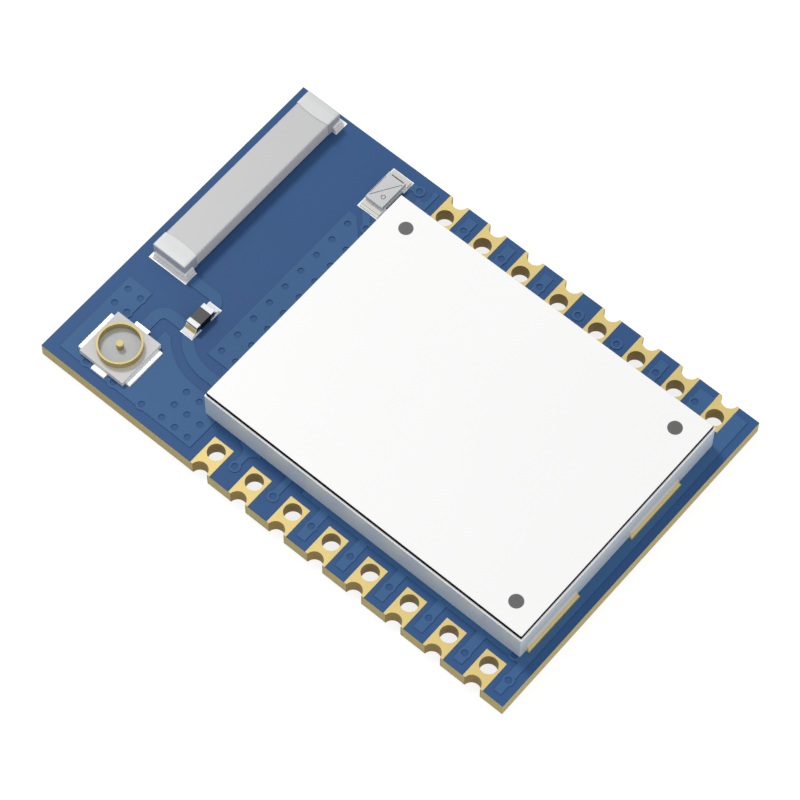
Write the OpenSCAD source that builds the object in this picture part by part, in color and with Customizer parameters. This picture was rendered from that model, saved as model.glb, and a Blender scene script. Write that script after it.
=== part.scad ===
// Wireless circuit module: a small board with castellated pads, a shield can over the radio,
// a chip antenna and a miniature coaxial jack.
//
// Frame: +Z up, z = 0 on the underside of the board, the origin under the board's centre.
// +X runs from the antenna end to the far end, +Y from the jack's side to the antenna's side.
// Plan positions below are measured from the board's corner beside the jack.

/* [Board] */
// Length of the board along X
board_l = 24; // [23:0.5:30]
// Width of the board along Y
board_w = 16; // [15:0.5:20]
// Finished thickness of the board, with its copper and solder mask
board_t = 0.8; // [0.6:0.1:1.6]
// Thickness of the copper on either face
copper_t = 0.035; // [0.018:0.001:0.07]
// Thickness of the solder mask
mask_t = 0.02; // [0.015:0.005:0.04]

/* [Castellated pads] */
// Number of pads along each long edge
pad_count = 8; // [3:1:8]
// Distance from one pad to the next
pad_pitch = 2; // [1.6:0.05:2]
// Width of a pad along the edge
pad_w = 1; // [0.95:0.05:1.3]
// Length of a pad from the edge inwards
pad_l = 1.46; // [1.42:0.02:1.8]
// Distance from the far end of the board to the middle of the last pad
pad_end = 1.5; // [1.2:0.1:3]
// Finished diameter of the round hole in a pad
pad_hole_d = 0.76; // [0.6:0.02:0.8]
// Distance from the board's edge to the middle of the round hole
pad_hole_in = 0.98; // [0.9:0.02:1.1]
// Finished diameter of the half hole that the board's edge cuts
half_hole_d = 0.76; // [0.6:0.02:0.8]
// How far outside the edge the middle of the half hole lies
half_hole_out = 0.04; // [0:0.01:0.1]
// Thickness of the plating on the hole walls
plating_t = 0.035; // [0.02:0.005:0.06]

/* [Vias] */
// Finished hole through a via
via_hole_d = 0.33; // [0.2:0.01:0.4]
// Plating on a via's wall
via_wall_t = 0.025; // [0.015:0.005:0.04]
// Outside diameter of the copper ring round a via
via_ring_d = 0.46; // [0.42:0.02:0.6]

/* [Shield can] */
// Distance from the antenna end of the board to the can
shield_start = 7; // [6.8:0.1:9]
// Gap between the can and the far end of the board
shield_end_gap = 0.8; // [0.6:0.05:2]
// Gap between the can and each long edge of the board
shield_side_gap = 2; // [1.8:0.05:3]
// Height of the can above the board
shield_h = 1.5; // [1.4:0.1:3]
// Thickness of the can's sheet metal
shield_t = 0.2; // [0.1:0.02:0.3]
// Outer radius of the can's folds and corners
shield_fold_r = 0.06; // [0.04:0.01:0.3]
// Length of each ground land that the can is soldered to
shield_land_l = 3.15; // [2:0.05:4]
// How far a ground land reaches out past the can
shield_land_out = 0.15; // [0.1:0.01:0.3]
// Middle of the first ground land on an end wall, from the can's side wall
shield_land_at = 1.95; // [1.7:0.05:2.5]
// Distance between the two ground lands on an end wall
shield_land_step = 6.32; // [5:0.05:7]
// Height of the solder that climbs the can's wall
shield_solder_h = 0.5; // [0.2:0.05:0.8]

/* [Label] */
// Distance from the can's edge to the label
label_inset = 0.07; // [0.05:0.01:1]
// Thickness of the label's black adhesive layer
adhesive_t = 0.17; // [0.05:0.01:0.3]
// Thickness of the label's white face
label_t = 0.04; // [0.02:0.01:0.1]

/* [Chip antenna] */
// Length of the antenna along Y
antenna_l = 9.6; // [6:0.1:10]
// Width of the antenna along X
antenna_w = 1.72; // [1.2:0.02:2]
// Height of the antenna
antenna_h = 0.85; // [0.5:0.05:1.5]
// Gap between the antenna and the end of the board
antenna_end_gap = 0.63; // [0.4:0.01:1]
// Gap between the antenna and the long edge behind it
antenna_side_gap = 0.38; // [0.3:0.01:0.6]
// Length of a metal end cap, at its corners
antenna_cap_l = 0.74; // [0.4:0.02:1]
// How far the inner edge of an end cap bows out
antenna_cap_bow = 0.08; // [0.02:0.01:0.15]
// Thickness of the metal end caps
antenna_cap_t = 0.03; // [0.02:0.005:0.05]
// Rounding of the antenna's edges
antenna_edge_r = 0.09; // [0.05:0.01:0.15]

/* [Coaxial jack] */
// Middle of the jack from the antenna end of the board
jack_x = 2.58; // [2.3:0.02:2.8]
// Middle of the jack from its long edge
jack_y = 1.88; // [1.7:0.02:2.2]
// Side of the square moulded housing
jack_side = 2.3; // [2.1:0.05:2.4]
// Height of the housing
jack_housing_h = 0.27; // [0.2:0.01:0.6]
// Height of the whole jack
jack_h = 0.62; // [0.5:0.01:1.3]
// Outside diameter of the round shell
jack_shell_d = 1.9; // [1.6:0.05:2]
// Wall of the round shell
jack_shell_t = 0.08; // [0.05:0.01:0.12]
// Diameter of the centre pin
jack_pin_d = 0.3; // [0.2:0.02:0.5]
// Thickness of the flat contact feet
jack_foot_t = 0.08; // [0.05:0.01:0.12]
// Length along Y of the two wide ground feet
jack_ground_l = 1.99; // [1.4:0.01:2]
// Width along X of the two narrow feet
jack_signal_w = 0.72; // [0.4:0.02:0.8]
// How far the feet reach out past the housing
jack_foot_out = 0.25; // [0.15:0.01:0.3]

/* [Link resistor] */
// Middle of the resistor from the antenna end of the board
link_x = 4.12; // [3.9:0.02:4.4]
// Middle of the resistor from the jack's long edge
link_y = 4.98; // [4.8:0.02:5.1]
// Length of the resistor along Y
link_l = 1.06; // [0.9:0.02:1.2]
// Width of the resistor
link_w = 0.56; // [0.4:0.02:0.6]
// Height of the resistor
link_h = 0.42; // [0.3:0.02:0.6]
// Length of its metal end caps
link_cap_l = 0.22; // [0.15:0.01:0.3]

/* [Indicator lamp] */
// Gap between the lamp and the shield can
lamp_gap = 0.58; // [0.3:0.02:1]
// Middle of the lamp from the antenna's long edge
lamp_in = 1.7; // [1.6:0.02:2.2]
// Length of the lamp along Y
lamp_l = 1.56; // [1.2:0.02:1.8]
// Width of the lamp
lamp_w = 0.96; // [0.7:0.02:1.1]
// Thickness of the lamp's base
lamp_base_t = 0.12; // [0.1:0.01:0.2]
// Height of the lamp's lens over the base
lamp_lens_h = 0.24; // [0.15:0.01:0.5]

/* [Inside the can] */
// Side of the radio chip
radio_side = 5; // [4:0.5:5]
// Height of the flat chip packages
chip_h = 0.75; // [0.6:0.05:0.9]
// Length of the memory chip
memory_l = 6; // [4:0.5:6]
// Width of the memory chip
memory_w = 5; // [3:0.5:5]
// Side of the power amplifier
amplifier_side = 3; // [2:0.5:3]
// Length of the crystal
crystal_l = 3.2; // [2:0.1:3.2]
// Width of the crystal
crystal_w = 2.5; // [1.6:0.1:2.5]
// Height of the crystal
crystal_h = 0.7; // [0.5:0.05:0.9]
// Length of a small capacitor or coil
small_l = 1; // [0.8:0.1:1]
// Width of a small capacitor or coil
small_w = 0.5; // [0.4:0.1:0.5]

/* [Hidden] */
$fn = 48;

mask_blue = "#3b5f8f";
gold = "#e5d088";
copper = "#c98752";
laminate_tan = "#b5a35f";
bright_metal = "#d9d9dc";
can_metal = "#9aa0ac";
solder_metal = "#dcdad2";
chip_black = "#2a2a2c";

PADS = [for (i = [1:2 * pad_count]) str("pad_", i < 10 ? "0" : "", i)];

// Levels of the board's layers
copper_under = mask_t;
laminate_under = copper_under + copper_t;
copper_top = board_t - mask_t;
laminate_top = copper_top - copper_t;
laminate_t = laminate_top - laminate_under;

// Shield can and its soldered ground
shield_end = board_l - shield_end_gap;
shield_l = shield_end - shield_start;
shield_w = board_w - 2 * shield_side_gap;
shield_far = board_w - shield_side_gap;
shield_top = board_t + shield_h;
ground_frame_w = 0.6;

// Antenna
antenna_x0 = antenna_end_gap;
antenna_x1 = antenna_x0 + antenna_w;
antenna_y1 = board_w - antenna_side_gap;
antenna_y0 = antenna_y1 - antenna_l;
antenna_land_l = 0.7;
antenna_land_out = 0.21;
antenna_land_x0 = antenna_x0 - 0.08;
antenna_land_x1 = antenna_x1 + 0.2;

// Jack
jack_half = jack_side / 2;
jack_reach = jack_half + jack_foot_out;
jack_shell_r = jack_shell_d / 2;
jack_riser_w = 0.5;
jack_riser_x0 = jack_shell_r - jack_shell_t;
jack_riser_x1 = sqrt(jack_shell_r * jack_shell_r - jack_riser_w * jack_riser_w / 4) - 0.002;
jack_land_l = jack_reach - jack_riser_x0;
jack_land_edge = 0.02;
jack_root_w = 0.2;

// Link resistor and lamp
link_land_w = link_w + 0.09;
link_land_l = 0.62;
link_land_reach = 0.37;
link_cap_t = 0.025;
lamp_x = shield_start - lamp_gap - lamp_w / 2;
lamp_y = board_w - lamp_in;
lamp_land_w = lamp_w + 0.14;
lamp_land_l = 0.65;
lamp_land_reach = 0.38;
lamp_contact_t = 0.03;
lamp_contact_l = 0.3;
lamp_lens_end = 0.02;
lamp_lens_side = 0.04;
lamp_mark_depth = 0.03;
lamp_mark_w = 0.03;
lamp_mark_turn = 58;
lamp_ring_r = 0.075;
lamp_slot_w = 0.05;
lamp_slot_in = 0.03;
lamp_slot_off = 0.05;

// Solder
solder_edge = 0.03;
antenna_solder_rise = 0.34;
link_solder_rise = 0.2;
lamp_solder_rise = 0.1;

// Copper tracks
ground_in = 0.61;
ground_edge = 0.47;
ground_arm_w = 1.18;
ground_arm_top = 4.61;
ground_slot_x0 = ground_in + ground_arm_w;
ground_slot_x1 = jack_x + 0.8;
ground_slot_y = jack_y + 0.7;
ground_peak = 3.65;
ground_end = shield_start + 0.56;
feed_w = 0.45;
feed_gap = 0.47;
feed_y = 3.3;
feed_c_x = shield_start - 1.12;
feed_from = [link_x + 0.08, link_y - link_l / 2 - 0.35];
feed_r = (pow(feed_from.x - feed_c_x, 2) + pow(feed_from.y - feed_y, 2)) / (2 * (feed_from.y - feed_y));
feed_c = [feed_c_x, feed_y + feed_r];
jack_turn_r = 0.465;
jack_track_x = jack_x + 0.01;
jack_track_y = link_y - 0.6;
antenna_turn_r = 0.415;
antenna_track_y = antenna_y0 + 0.14;
stub_w = 0.39;
stub_in = 0.34;
rail_out = 0.2;
rail_end_out = 0.42;
strip_x = shield_start - 1.66;
strip_y0 = 4.05;
strip_y1 = 12.7;
strip_flat = 0.38;
flare_r = 0.4;
narrow_w = 0.26;
end_stub_at = 0.617;
end_stub_w = 0.187;
end_stub_l = 0.17;
end_neck_w = 0.14;
end_flare_in = 1.02;
end_flare_r = 0.2;

function pad_x(i) = board_l - pad_end - pad_pitch * (pad_count - 1 - i);
function gap_x(i) = pad_x(i) + pad_pitch / 2 - 0.03;
last_gap = pad_count - 2;

// Vias, in groups
via_in = 0.98;
arm_vias = [for (x = [0.93, 1.6], y = [3.34, 4.15]) [x, y]];
edge_vias = [for (x = [1.87, 3.33, 4.84]) [x, 0.63]];
corner_vias = [for (i = [0:2], j = [0:2]) if (i + j < 4) [shield_start - 1.16 + 0.68 * i, 0.72 + 0.74 * j]];
strip_vias = [for (i = [0, 1], j = [0:8]) if (i == 0 || j < 8) [shield_start - 1.33 + 0.75 * i, 4.5 + 0.965 * j]];
near_vias = [for (i = [0:last_gap]) [gap_x(i), i == last_gap ? via_in - 0.22 : via_in]];
far_vias = [for (i = [0:last_gap]) [gap_x(i), board_w - via_in + 0.03]];
end_vias = [[shield_end + 0.27, via_in], [shield_end - 0.22, shield_side_gap - 0.05]];
lamp_vias = [[lamp_x + 0.97, board_w - 0.7], [lamp_x + 0.46, lamp_y - 1.76]];
VIAS = concat(arm_vias, edge_vias, corner_vias, strip_vias, near_vias, far_vias, end_vias, lamp_vias);

// Parts inside the can
radio_in = 4.6;
radio_off = 1.6;
memory_gap = 1;
memory_off = 1.9;
amplifier_in = 2.6;
crystal_in = 9;
coil_row_in = 2.4;
coil_end = 4.4;
coil_step = 1.2;
capacitor_in = 1.25;
capacitor_step = 1.5;
capacitor_off = 0.7;
gap_capacitor_off = 0.4;
radio_at = [shield_start + radio_in, board_w / 2 + radio_off];
memory_at = [shield_end - memory_gap - memory_l / 2, board_w / 2 + memory_off];
amplifier_at = [shield_start + amplifier_in, shield_side_gap + amplifier_in];
crystal_at = [shield_start + crystal_in, shield_side_gap + coil_row_in];
gap_column = (radio_at.x + radio_side / 2 + memory_at.x - memory_l / 2) / 2;
capacitor_at = concat(
    [for (i = [0:3]) [shield_start + capacitor_in, board_w / 2 - capacitor_off + capacitor_step * i]],
    [for (i = [0:3]) [gap_column, board_w / 2 - gap_capacitor_off + capacitor_step * i]]);
coil_at = [for (i = [0:2]) [shield_end - coil_end + coil_step * i, shield_side_gap + coil_row_in]];
lead_t = 0.2;
lead_w = 0.25;
lead_l = 0.4;
lead_step = 0.5;
memory_lead_step = 1.27;
memory_leads = 4;
thermal_share = 0.56;
small_cap_l = 0.2;
small_cap_t = 0.02;
small_h = 0.5;
crystal_base_t = 0.3;
crystal_rim = 0.15;

// ---------------------------------------------------------------- plan helpers

// Moves plan positions, measured from the board's corner, to the centred frame
module place(z = 0) translate([-board_l / 2, -board_w / 2, z]) children();

// Rectangle between two corners, grown by g on every side
module area(x0, y0, x1, y1, g = 0) translate([x0 - g, y0 - g]) square([x1 - x0 + 2 * g, y1 - y0 + 2 * g]);

// Rectangle about a middle point
module pane(c, l, w, g = 0) area(c.x - l / 2, c.y - w / 2, c.x + l / 2, c.y + w / 2, g);

// Ring of wall t outside radius r
module ring(r, t)
    difference() {
        circle(r + t);
        circle(r);
    }

// Straight copper track from a to b
module track(a, b, w, g = 0)
    translate(a) rotate(atan2(b.y - a.y, b.x - a.x)) area(0, -w / 2, norm(b - a), w / 2, g);

// Curved copper track about c between two angles less than 180 degrees apart
module curved_track(c, r, w, a0, a1, g = 0)
    translate(c) intersection() {
        ring(r - w / 2 - g, w + 2 * g);
        polygon([[0, 0], 2 * r * [cos(a0), sin(a0)], 3 * r * [cos((a0 + a1) / 2), sin((a0 + a1) / 2)],
                 2 * r * [cos(a1), sin(a1)]]);
    }

// Rectangle with round corners
module round_rect(l, w, r) {
    translate([r, 0]) square([l - 2 * r, w]);
    translate([0, r]) square([l, w - 2 * r]);
    for (x = [r, l - r], y = [r, w - r]) translate([x, y]) circle(r);
}

// Rectangle whose two upper corners are round
module round_top(l, h, r) {
    translate([r, 0]) square([l - 2 * r, h]);
    square([l, h - r]);
    for (x = [r, l - r]) translate([x, h - r]) circle(r);
}

// ---------------------------------------------------------------- solid helpers

// Block with round upright edges and a round rim on top
module soft_block(l, w, h, r)
    intersection() {
        linear_extrude(h) round_rect(l, w, r);
        translate([0, w, 0]) rotate([90, 0, 0]) linear_extrude(w) round_top(l, h, r);
        rotate([90, 0, 90]) linear_extrude(l) round_top(w, h, r);
    }

// Solder climbing a wall: a bar along X that reaches out along +Y and rises in concave steps
module solder_bar(length, reach, rise)
    rotate([90, 0, 90]) linear_extrude(length)
        polygon([[0, 0], [reach, 0], [reach, 0.02], [0.55 * reach, 0.16 * rise], [0.25 * reach, 0.45 * rise],
                 [0.08 * reach + 0.01, rise], [0, rise]]);

// Small two-ended part, its length along Y: the body, full in the middle and a core inside the caps
module two_end_body(l, w, h, cap_l, cap_t) {
    translate([-w / 2, -l / 2 + cap_l, 0]) cube([w, l - 2 * cap_l, h]);
    translate([-w / 2 + cap_t, -l / 2 + cap_t, cap_t]) cube([w - 2 * cap_t, l - 2 * cap_t, h - 2 * cap_t]);
}

// Both metal end caps of such a part
module two_end_caps(l, w, h, cap_l, cap_t)
    difference() {
        for (s = [0, 1])
            mirror([0, s, 0]) translate([-w / 2, -l / 2, 0]) cube([w, cap_l, h]);
        two_end_body(l, w, h, cap_l, cap_t);
    }

// Leads along the four sides of a flat package, and the pad under its middle
module flat_leads(l, w, along_x, along_y, step, grow = 0) {
    for (i = [0:1:along_x - 1], s = [-1, 1])
        pane([(i - (along_x - 1) / 2) * step, s * (w - lead_l) / 2], lead_w, lead_l, grow);
    for (i = [0:1:along_y - 1], s = [-1, 1])
        pane([s * (l - lead_l) / 2, (i - (along_y - 1) / 2) * step], lead_l, lead_w, grow);
    pane([0, 0], l * thermal_share, w * thermal_share, grow);
}

// ---------------------------------------------------------------- pads and lands in plan

// Its children at every pad, as seen from the near edge
module every_pad()
    for (i = [0:pad_count - 1]) {
        translate([pad_x(i), 0]) children();
        translate([pad_x(i), board_w]) mirror([0, 1]) children();
    }

module pad_window() area(-pad_w / 2, 0, pad_w / 2, pad_l);

// One pad's land with its round hole and half hole
module pad_land()
    difference() {
        pad_window();
        translate([0, pad_hole_in]) circle(d = pad_hole_d);
        translate([0, -half_hole_out]) circle(d = half_hole_d);
    }

// The plating on the walls of both holes
module pad_walls()
    intersection() {
        pad_window();
        union() {
            translate([0, pad_hole_in]) ring(pad_hole_d / 2, plating_t);
            translate([0, -half_hole_out]) ring(half_hole_d / 2, plating_t);
        }
    }

module pad_drills() {
    translate([0, pad_hole_in]) circle(pad_hole_d / 2 + plating_t);
    translate([0, -half_hole_out]) circle(half_hole_d / 2 + plating_t);
}

module antenna_land_pair(edge = 0) {
    area(antenna_land_x0 + edge, antenna_y0 - antenna_land_out + edge,
         antenna_land_x1 - edge, antenna_y0 - antenna_land_out + antenna_land_l - edge);
    area(antenna_land_x0 + edge, antenna_y1 + antenna_land_out - antenna_land_l + edge,
         antenna_land_x1 - edge, antenna_y1 + antenna_land_out - edge);
}

module jack_land_four(edge = 0)
    for (s = [-1, 1]) {
        pane([jack_x + s * (jack_reach - jack_land_l / 2), jack_y], jack_land_l, jack_ground_l, -edge);
        pane([jack_x, jack_y + s * (jack_reach - jack_land_l / 2)], jack_signal_w, jack_land_l, -edge);
    }

module link_land_pair(edge = 0)
    for (s = [-1, 1])
        pane([link_x, link_y + s * (link_l / 2 + link_land_reach - link_land_l / 2)], link_land_w, link_land_l, -edge);

module lamp_land_pair(edge = 0)
    for (s = [-1, 1])
        pane([lamp_x, lamp_y + s * (lamp_l / 2 + lamp_land_reach - lamp_land_l / 2)], lamp_land_w, lamp_land_l, -edge);

// The lands lie partly under the end walls of the can
module shield_land_four(edge = 0)
    for (i = [0, 1], x = [shield_start - shield_land_out / 2 + shield_t / 2, shield_end + shield_land_out / 2 - shield_t / 2])
        pane([x, shield_side_gap + shield_land_at + i * shield_land_step],
             shield_land_out + shield_t, shield_land_l, -edge);

module small_part_lands(at)
    for (c = at, s = [-1, 1])
        pane([c.x, c.y + s * (small_l - small_cap_l) / 2], small_w, small_cap_l, 0.05);

module crystal_lands()
    for (x = [-1, 1], y = [-1, 1])
        pane([crystal_at.x + x * crystal_l * 0.34, crystal_at.y + y * crystal_w * 0.32],
             crystal_l * 0.3, crystal_w * 0.3);

module inner_land_plan() {
    translate(radio_at) flat_leads(radio_side, radio_side, radio_leads(), radio_leads(), lead_step);
    translate(memory_at) flat_leads(memory_l, memory_w, 0, memory_leads, memory_lead_step);
    translate(amplifier_at) flat_leads(amplifier_side, amplifier_side, amplifier_leads(), amplifier_leads(), lead_step);
    crystal_lands();
    small_part_lands(capacitor_at);
    small_part_lands(coil_at);
}

function radio_leads() = floor((radio_side - 1) / lead_step);
function amplifier_leads() = floor((amplifier_side - 1) / lead_step);

module windows_on_top() {
    every_pad() pad_window();
    antenna_land_pair();
    jack_land_four();
    link_land_pair();
    lamp_land_pair();
    shield_land_four();
    inner_land_plan();
}

// ---------------------------------------------------------------- copper in plan

// Ground round the jack: two arms, the sweep beside the radio feed, and the part under the can
module jack_ground(g)
    difference() {
        union() {
            area(ground_in, ground_edge, ground_slot_x0, ground_arm_top, g);
            area(ground_in, ground_edge, ground_end, ground_peak, g);
        }
        area(ground_slot_x0, ground_slot_y, ground_slot_x1, board_w, -g);
        translate(feed_c) circle(feed_r + feed_w / 2 + feed_gap - g);
        area(feed_c.x, feed_c.y - feed_r - feed_w / 2 - feed_gap, board_l, board_w, -g);
    }

// Feed from the jack through the link resistor to the can, and on to the antenna
module radio_feed(g) {
    turn_c = [jack_track_x + jack_turn_r, jack_track_y - jack_turn_r];
    track([jack_track_x, jack_y + jack_half], [jack_track_x, turn_c.y], feed_w, g);
    curved_track(turn_c, jack_turn_r, feed_w, 90, 180, g);
    track([turn_c.x, jack_track_y], [link_x, jack_track_y], feed_w, g);
    curved_track(feed_c, feed_r, feed_w, 210, 270, g);
    track([feed_c.x, feed_y], [shield_start + 1, feed_y], feed_w, g);
    antenna_c = [link_x - antenna_turn_r, antenna_track_y - antenna_turn_r];
    track([antenna_x1, antenna_track_y], [antenna_c.x, antenna_track_y], feed_w, g);
    curved_track(antenna_c, antenna_turn_r, feed_w, 0, 90, g);
}

// Strip of ground along the can's antenna end, one corner cut off
module ground_strip(g)
    difference() {
        area(strip_x, strip_y0, shield_start + ground_frame_w, strip_y1, g);
        translate([strip_x + strip_flat + g * 0.414, strip_y1 + g]) rotate(-45) square(4);
    }

// Ground under the can's walls, and the rails that show outside it
module shield_ground(g) {
    difference() {
        area(shield_start, shield_side_gap, shield_end, shield_far, g);
        area(shield_start, shield_side_gap, shield_end, shield_far, -ground_frame_w - g);
    }
    area(gap_x(1) + 0.8, shield_side_gap - rail_out, shield_end, shield_side_gap + 0.3, g);
    area(shield_end - 0.2, shield_side_gap - rail_out, shield_end + rail_end_out, board_w - stub_in, g);
    area(shield_end + 0.1, stub_in, shield_end + rail_end_out, shield_side_gap, g);
}

// Stubs that run out from the can between the pads
module edge_stubs(g) {
    for (i = [2:1:last_gap])
        area(gap_x(i) - stub_w / 2, stub_in, gap_x(i) + stub_w / 2, shield_side_gap, g);
    for (i = [0:1:last_gap])
        if (i < 3 || i == last_gap - 1)
            area(gap_x(i) - stub_w / 2, shield_far, gap_x(i) + stub_w / 2, board_w - stub_in, g);
    area(gap_x(last_gap) - stub_w / 2, shield_far, pad_x(last_gap + 1) - pad_w / 2, board_w - stub_in, g);
    track([gap_x(1), via_in], [gap_x(1), shield_side_gap], narrow_w, g);
    track([gap_x(0), via_in], [gap_x(0), shield_side_gap], narrow_w, g);
    flare_y = shield_side_gap - flare_r - 0.1;
    difference() {
        area(gap_x(0) - flare_r - 0.1, flare_y, gap_x(0) + flare_r + 0.1, shield_side_gap, g);
        for (s = [-1, 1])
            translate([gap_x(0) + s * (flare_r + narrow_w / 2), flare_y]) circle(flare_r - g);
        area(gap_x(0) - 1, flare_y - 0.5, gap_x(0) - narrow_w / 2, flare_y + 0.02, -g);
        area(gap_x(0) + narrow_w / 2, flare_y - 0.5, gap_x(0) + 1, flare_y + 0.02, -g);
    }
}

// Test point beside the first far pad: a square end on a narrow neck that flares out to one side
module end_stub(g) {
    x1 = shield_start + end_stub_at;
    neck_x = x1 - end_neck_w;
    flare_y = board_w - end_flare_in;
    area(x1 - end_stub_w, board_w - stub_in - end_stub_l, x1, board_w - stub_in, g);
    area(neck_x, shield_far, x1, board_w - stub_in, g);
    area(shield_start + 0.1, shield_far, neck_x, flare_y, g);
    difference() {
        translate([neck_x - end_flare_r, flare_y]) square(end_flare_r);
        translate([neck_x - end_flare_r, flare_y + end_flare_r]) circle(end_flare_r - g);
    }
}

// Tracks at the indicator lamp
module lamp_tracks(g) {
    track([lamp_x, board_w - 0.76], lamp_vias[0], 0.33, g);
    track([lamp_x - 0.1, lamp_y - 1.1], lamp_vias[1], 0.3, g);
    end_stub(g);
}

// All copper on top that the mask covers
module top_pattern(g = 0)
    difference() {
        union() {
            jack_ground(g);
            radio_feed(g);
            ground_strip(g);
            shield_ground(g);
            edge_stubs(g);
            lamp_tracks(g);
            for (v = VIAS) translate(v) circle(via_ring_d / 2 + g);
        }
        for (v = VIAS) translate(v) circle(via_hole_d / 2 - g);
        windows_on_top();
    }

// Ground below, clear of the antenna
module bottom_pattern(g = 0)
    difference() {
        union() {
            area(strip_x, shield_side_gap, shield_end + rail_end_out, shield_far, g);
            area(ground_in, ground_edge, ground_end, ground_arm_top, g);
            for (i = [2:1:last_gap])
                area(gap_x(i) - stub_w / 2, stub_in, gap_x(i) + stub_w / 2, board_w - stub_in, g);
            for (v = VIAS) translate(v) circle(via_ring_d / 2 + g);
        }
        for (v = VIAS) translate(v) circle(via_hole_d / 2 - g);
        every_pad() pad_window();
    }

// ---------------------------------------------------------------- the board

module substrate()
    color(laminate_tan) place(laminate_under) linear_extrude(laminate_t) difference() {
        square([board_l, board_w]);
        every_pad() pad_drills();
        for (v = VIAS) translate(v) circle(via_hole_d / 2 + via_wall_t);
    }

// The copper on top and the plated walls of the vias
module top_copper()
    color(copper) {
        place(laminate_top) linear_extrude(copper_t) top_pattern();
        place(laminate_under) linear_extrude(laminate_t)
            for (v = VIAS) translate(v) ring(via_hole_d / 2, via_wall_t);
    }

module bottom_copper()
    color(copper) place(copper_under) linear_extrude(copper_t) bottom_pattern();

// The mask follows the copper, so every track stands up under it and every via shows as a dimple
module top_solder_mask()
    color(mask_blue) difference() {
        union() {
            place(laminate_top) linear_extrude(mask_t) difference() {
                square([board_l, board_w]);
                windows_on_top();
            }
            place(laminate_top) linear_extrude(copper_t + mask_t) difference() {
                top_pattern(mask_t);
                windows_on_top();
            }
        }
        place(laminate_top - 1) linear_extrude(copper_t + 1) top_pattern();
    }

module bottom_solder_mask()
    color(mask_blue) difference() {
        union() {
            place(laminate_under - mask_t) linear_extrude(mask_t) difference() {
                square([board_l, board_w]);
                every_pad() pad_window();
            }
            place(0) linear_extrude(laminate_under) difference() {
                bottom_pattern(mask_t);
                every_pad() pad_window();
            }
        }
        place(copper_under) linear_extrude(copper_t + 1) bottom_pattern();
    }

// Castellated pad i, from 1: lands on both faces, joined by the plated round hole and half hole
module castellated_pad(i) {
    far = i > pad_count;
    x = pad_x(far ? i - pad_count - 1 : i - 1);
    color(gold) place() translate([x, far ? board_w : 0, 0]) mirror([0, far ? 1 : 0, 0]) {
        translate([0, 0, copper_under]) linear_extrude(copper_t) pad_land();
        translate([0, 0, laminate_under]) linear_extrude(laminate_t) pad_walls();
        translate([0, 0, laminate_top]) linear_extrude(copper_t) pad_land();
    }
}

// ---------------------------------------------------------------- the shield can

// Folded sheet-metal can, open underneath
module shield_can()
    color(can_metal) place(board_t) translate([shield_start, shield_side_gap, 0]) difference() {
        soft_block(shield_l, shield_w, shield_h, shield_fold_r);
        translate([shield_t, shield_t, -1])
            cube([shield_l - 2 * shield_t, shield_w - 2 * shield_t, shield_h - shield_t + 1]);
    }

module label_layer(z, t)
    place(z) linear_extrude(t) area(shield_start, shield_side_gap, shield_end, shield_far, -label_inset);

module label_adhesive() color("#16161a") label_layer(shield_top, adhesive_t);

module label_face() color("#f7f7f7") label_layer(shield_top + adhesive_t, label_t);

module shield_lands() color(gold) place(laminate_top) linear_extrude(copper_t) shield_land_four();

// Solder under the can's end walls and up their outer faces
module shield_solder()
    color(gold) {
        place(copper_top) linear_extrude(mask_t) shield_land_four(solder_edge);
        for (i = [0, 1], s = [0, 1])
            place(board_t)
                translate([s ? shield_end : shield_start,
                           shield_side_gap + shield_land_at + i * shield_land_step, 0])
                    mirror([s ? 0 : 1, 0, 0]) rotate(-90)
                        translate([-shield_land_l / 2 + solder_edge, 0, 0])
                            solder_bar(shield_land_l - 2 * solder_edge, shield_land_out - solder_edge, shield_solder_h);
    }

// ---------------------------------------------------------------- the antenna

// The block that the end caps fill, and the ceramic inside it
module antenna_block(inset)
    place(board_t + inset) translate([antenna_x0 + inset, antenna_y0 + inset, 0])
        soft_block(antenna_w - 2 * inset, antenna_l - 2 * inset, antenna_h - 2 * inset, antenna_edge_r - inset);

module antenna_body() color("#cbcbcb") antenna_block(antenna_cap_t);

// End cap in plan, its inner edge an arc that bows out by antenna_cap_bow
module antenna_cap_plan() {
    bow_r = (antenna_w * antenna_w / 4 + antenna_cap_bow * antenna_cap_bow) / (2 * antenna_cap_bow);
    intersection() {
        area(0, 0, antenna_w, antenna_cap_l + antenna_cap_bow);
        translate([antenna_w / 2, antenna_cap_l + antenna_cap_bow - bow_r]) circle(bow_r, $fn = 96);
    }
}

module antenna_cap(y, turned)
    color(bright_metal) difference() {
        intersection() {
            antenna_block(0);
            place(board_t - 0.1) translate([antenna_x0, y, 0]) mirror([0, turned, 0])
                linear_extrude(antenna_h + 0.2) antenna_cap_plan();
        }
        antenna_block(antenna_cap_t);
    }

module antenna_feed_cap() antenna_cap(antenna_y0, 0);

module antenna_end_cap() antenna_cap(antenna_y1, 1);

module antenna_lands() color(bright_metal) place(laminate_top) linear_extrude(copper_t) antenna_land_pair();

// Solder under both caps and up their ends and inner sides
module antenna_solder()
    color(solder_metal) {
        place(copper_top) linear_extrude(mask_t) antenna_land_pair(solder_edge);
        reach = antenna_land_out - solder_edge;
        side = antenna_land_x1 - antenna_x1 - solder_edge;
        side_l = antenna_land_l - antenna_land_out - solder_edge - antenna_edge_r;
        for (end = [0, 1])
            place(board_t) translate([0, end ? antenna_y1 : antenna_y0, 0]) mirror([0, 1 - end, 0]) {
                translate([antenna_x0 + 0.2, 0, 0])
                    solder_bar(antenna_w - 0.2 - antenna_edge_r, reach, antenna_solder_rise);
                translate([antenna_x1, -antenna_edge_r, 0]) rotate(-90)
                    solder_bar(side_l, side, antenna_solder_rise);
            }
    }

// ---------------------------------------------------------------- the coaxial jack

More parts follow.
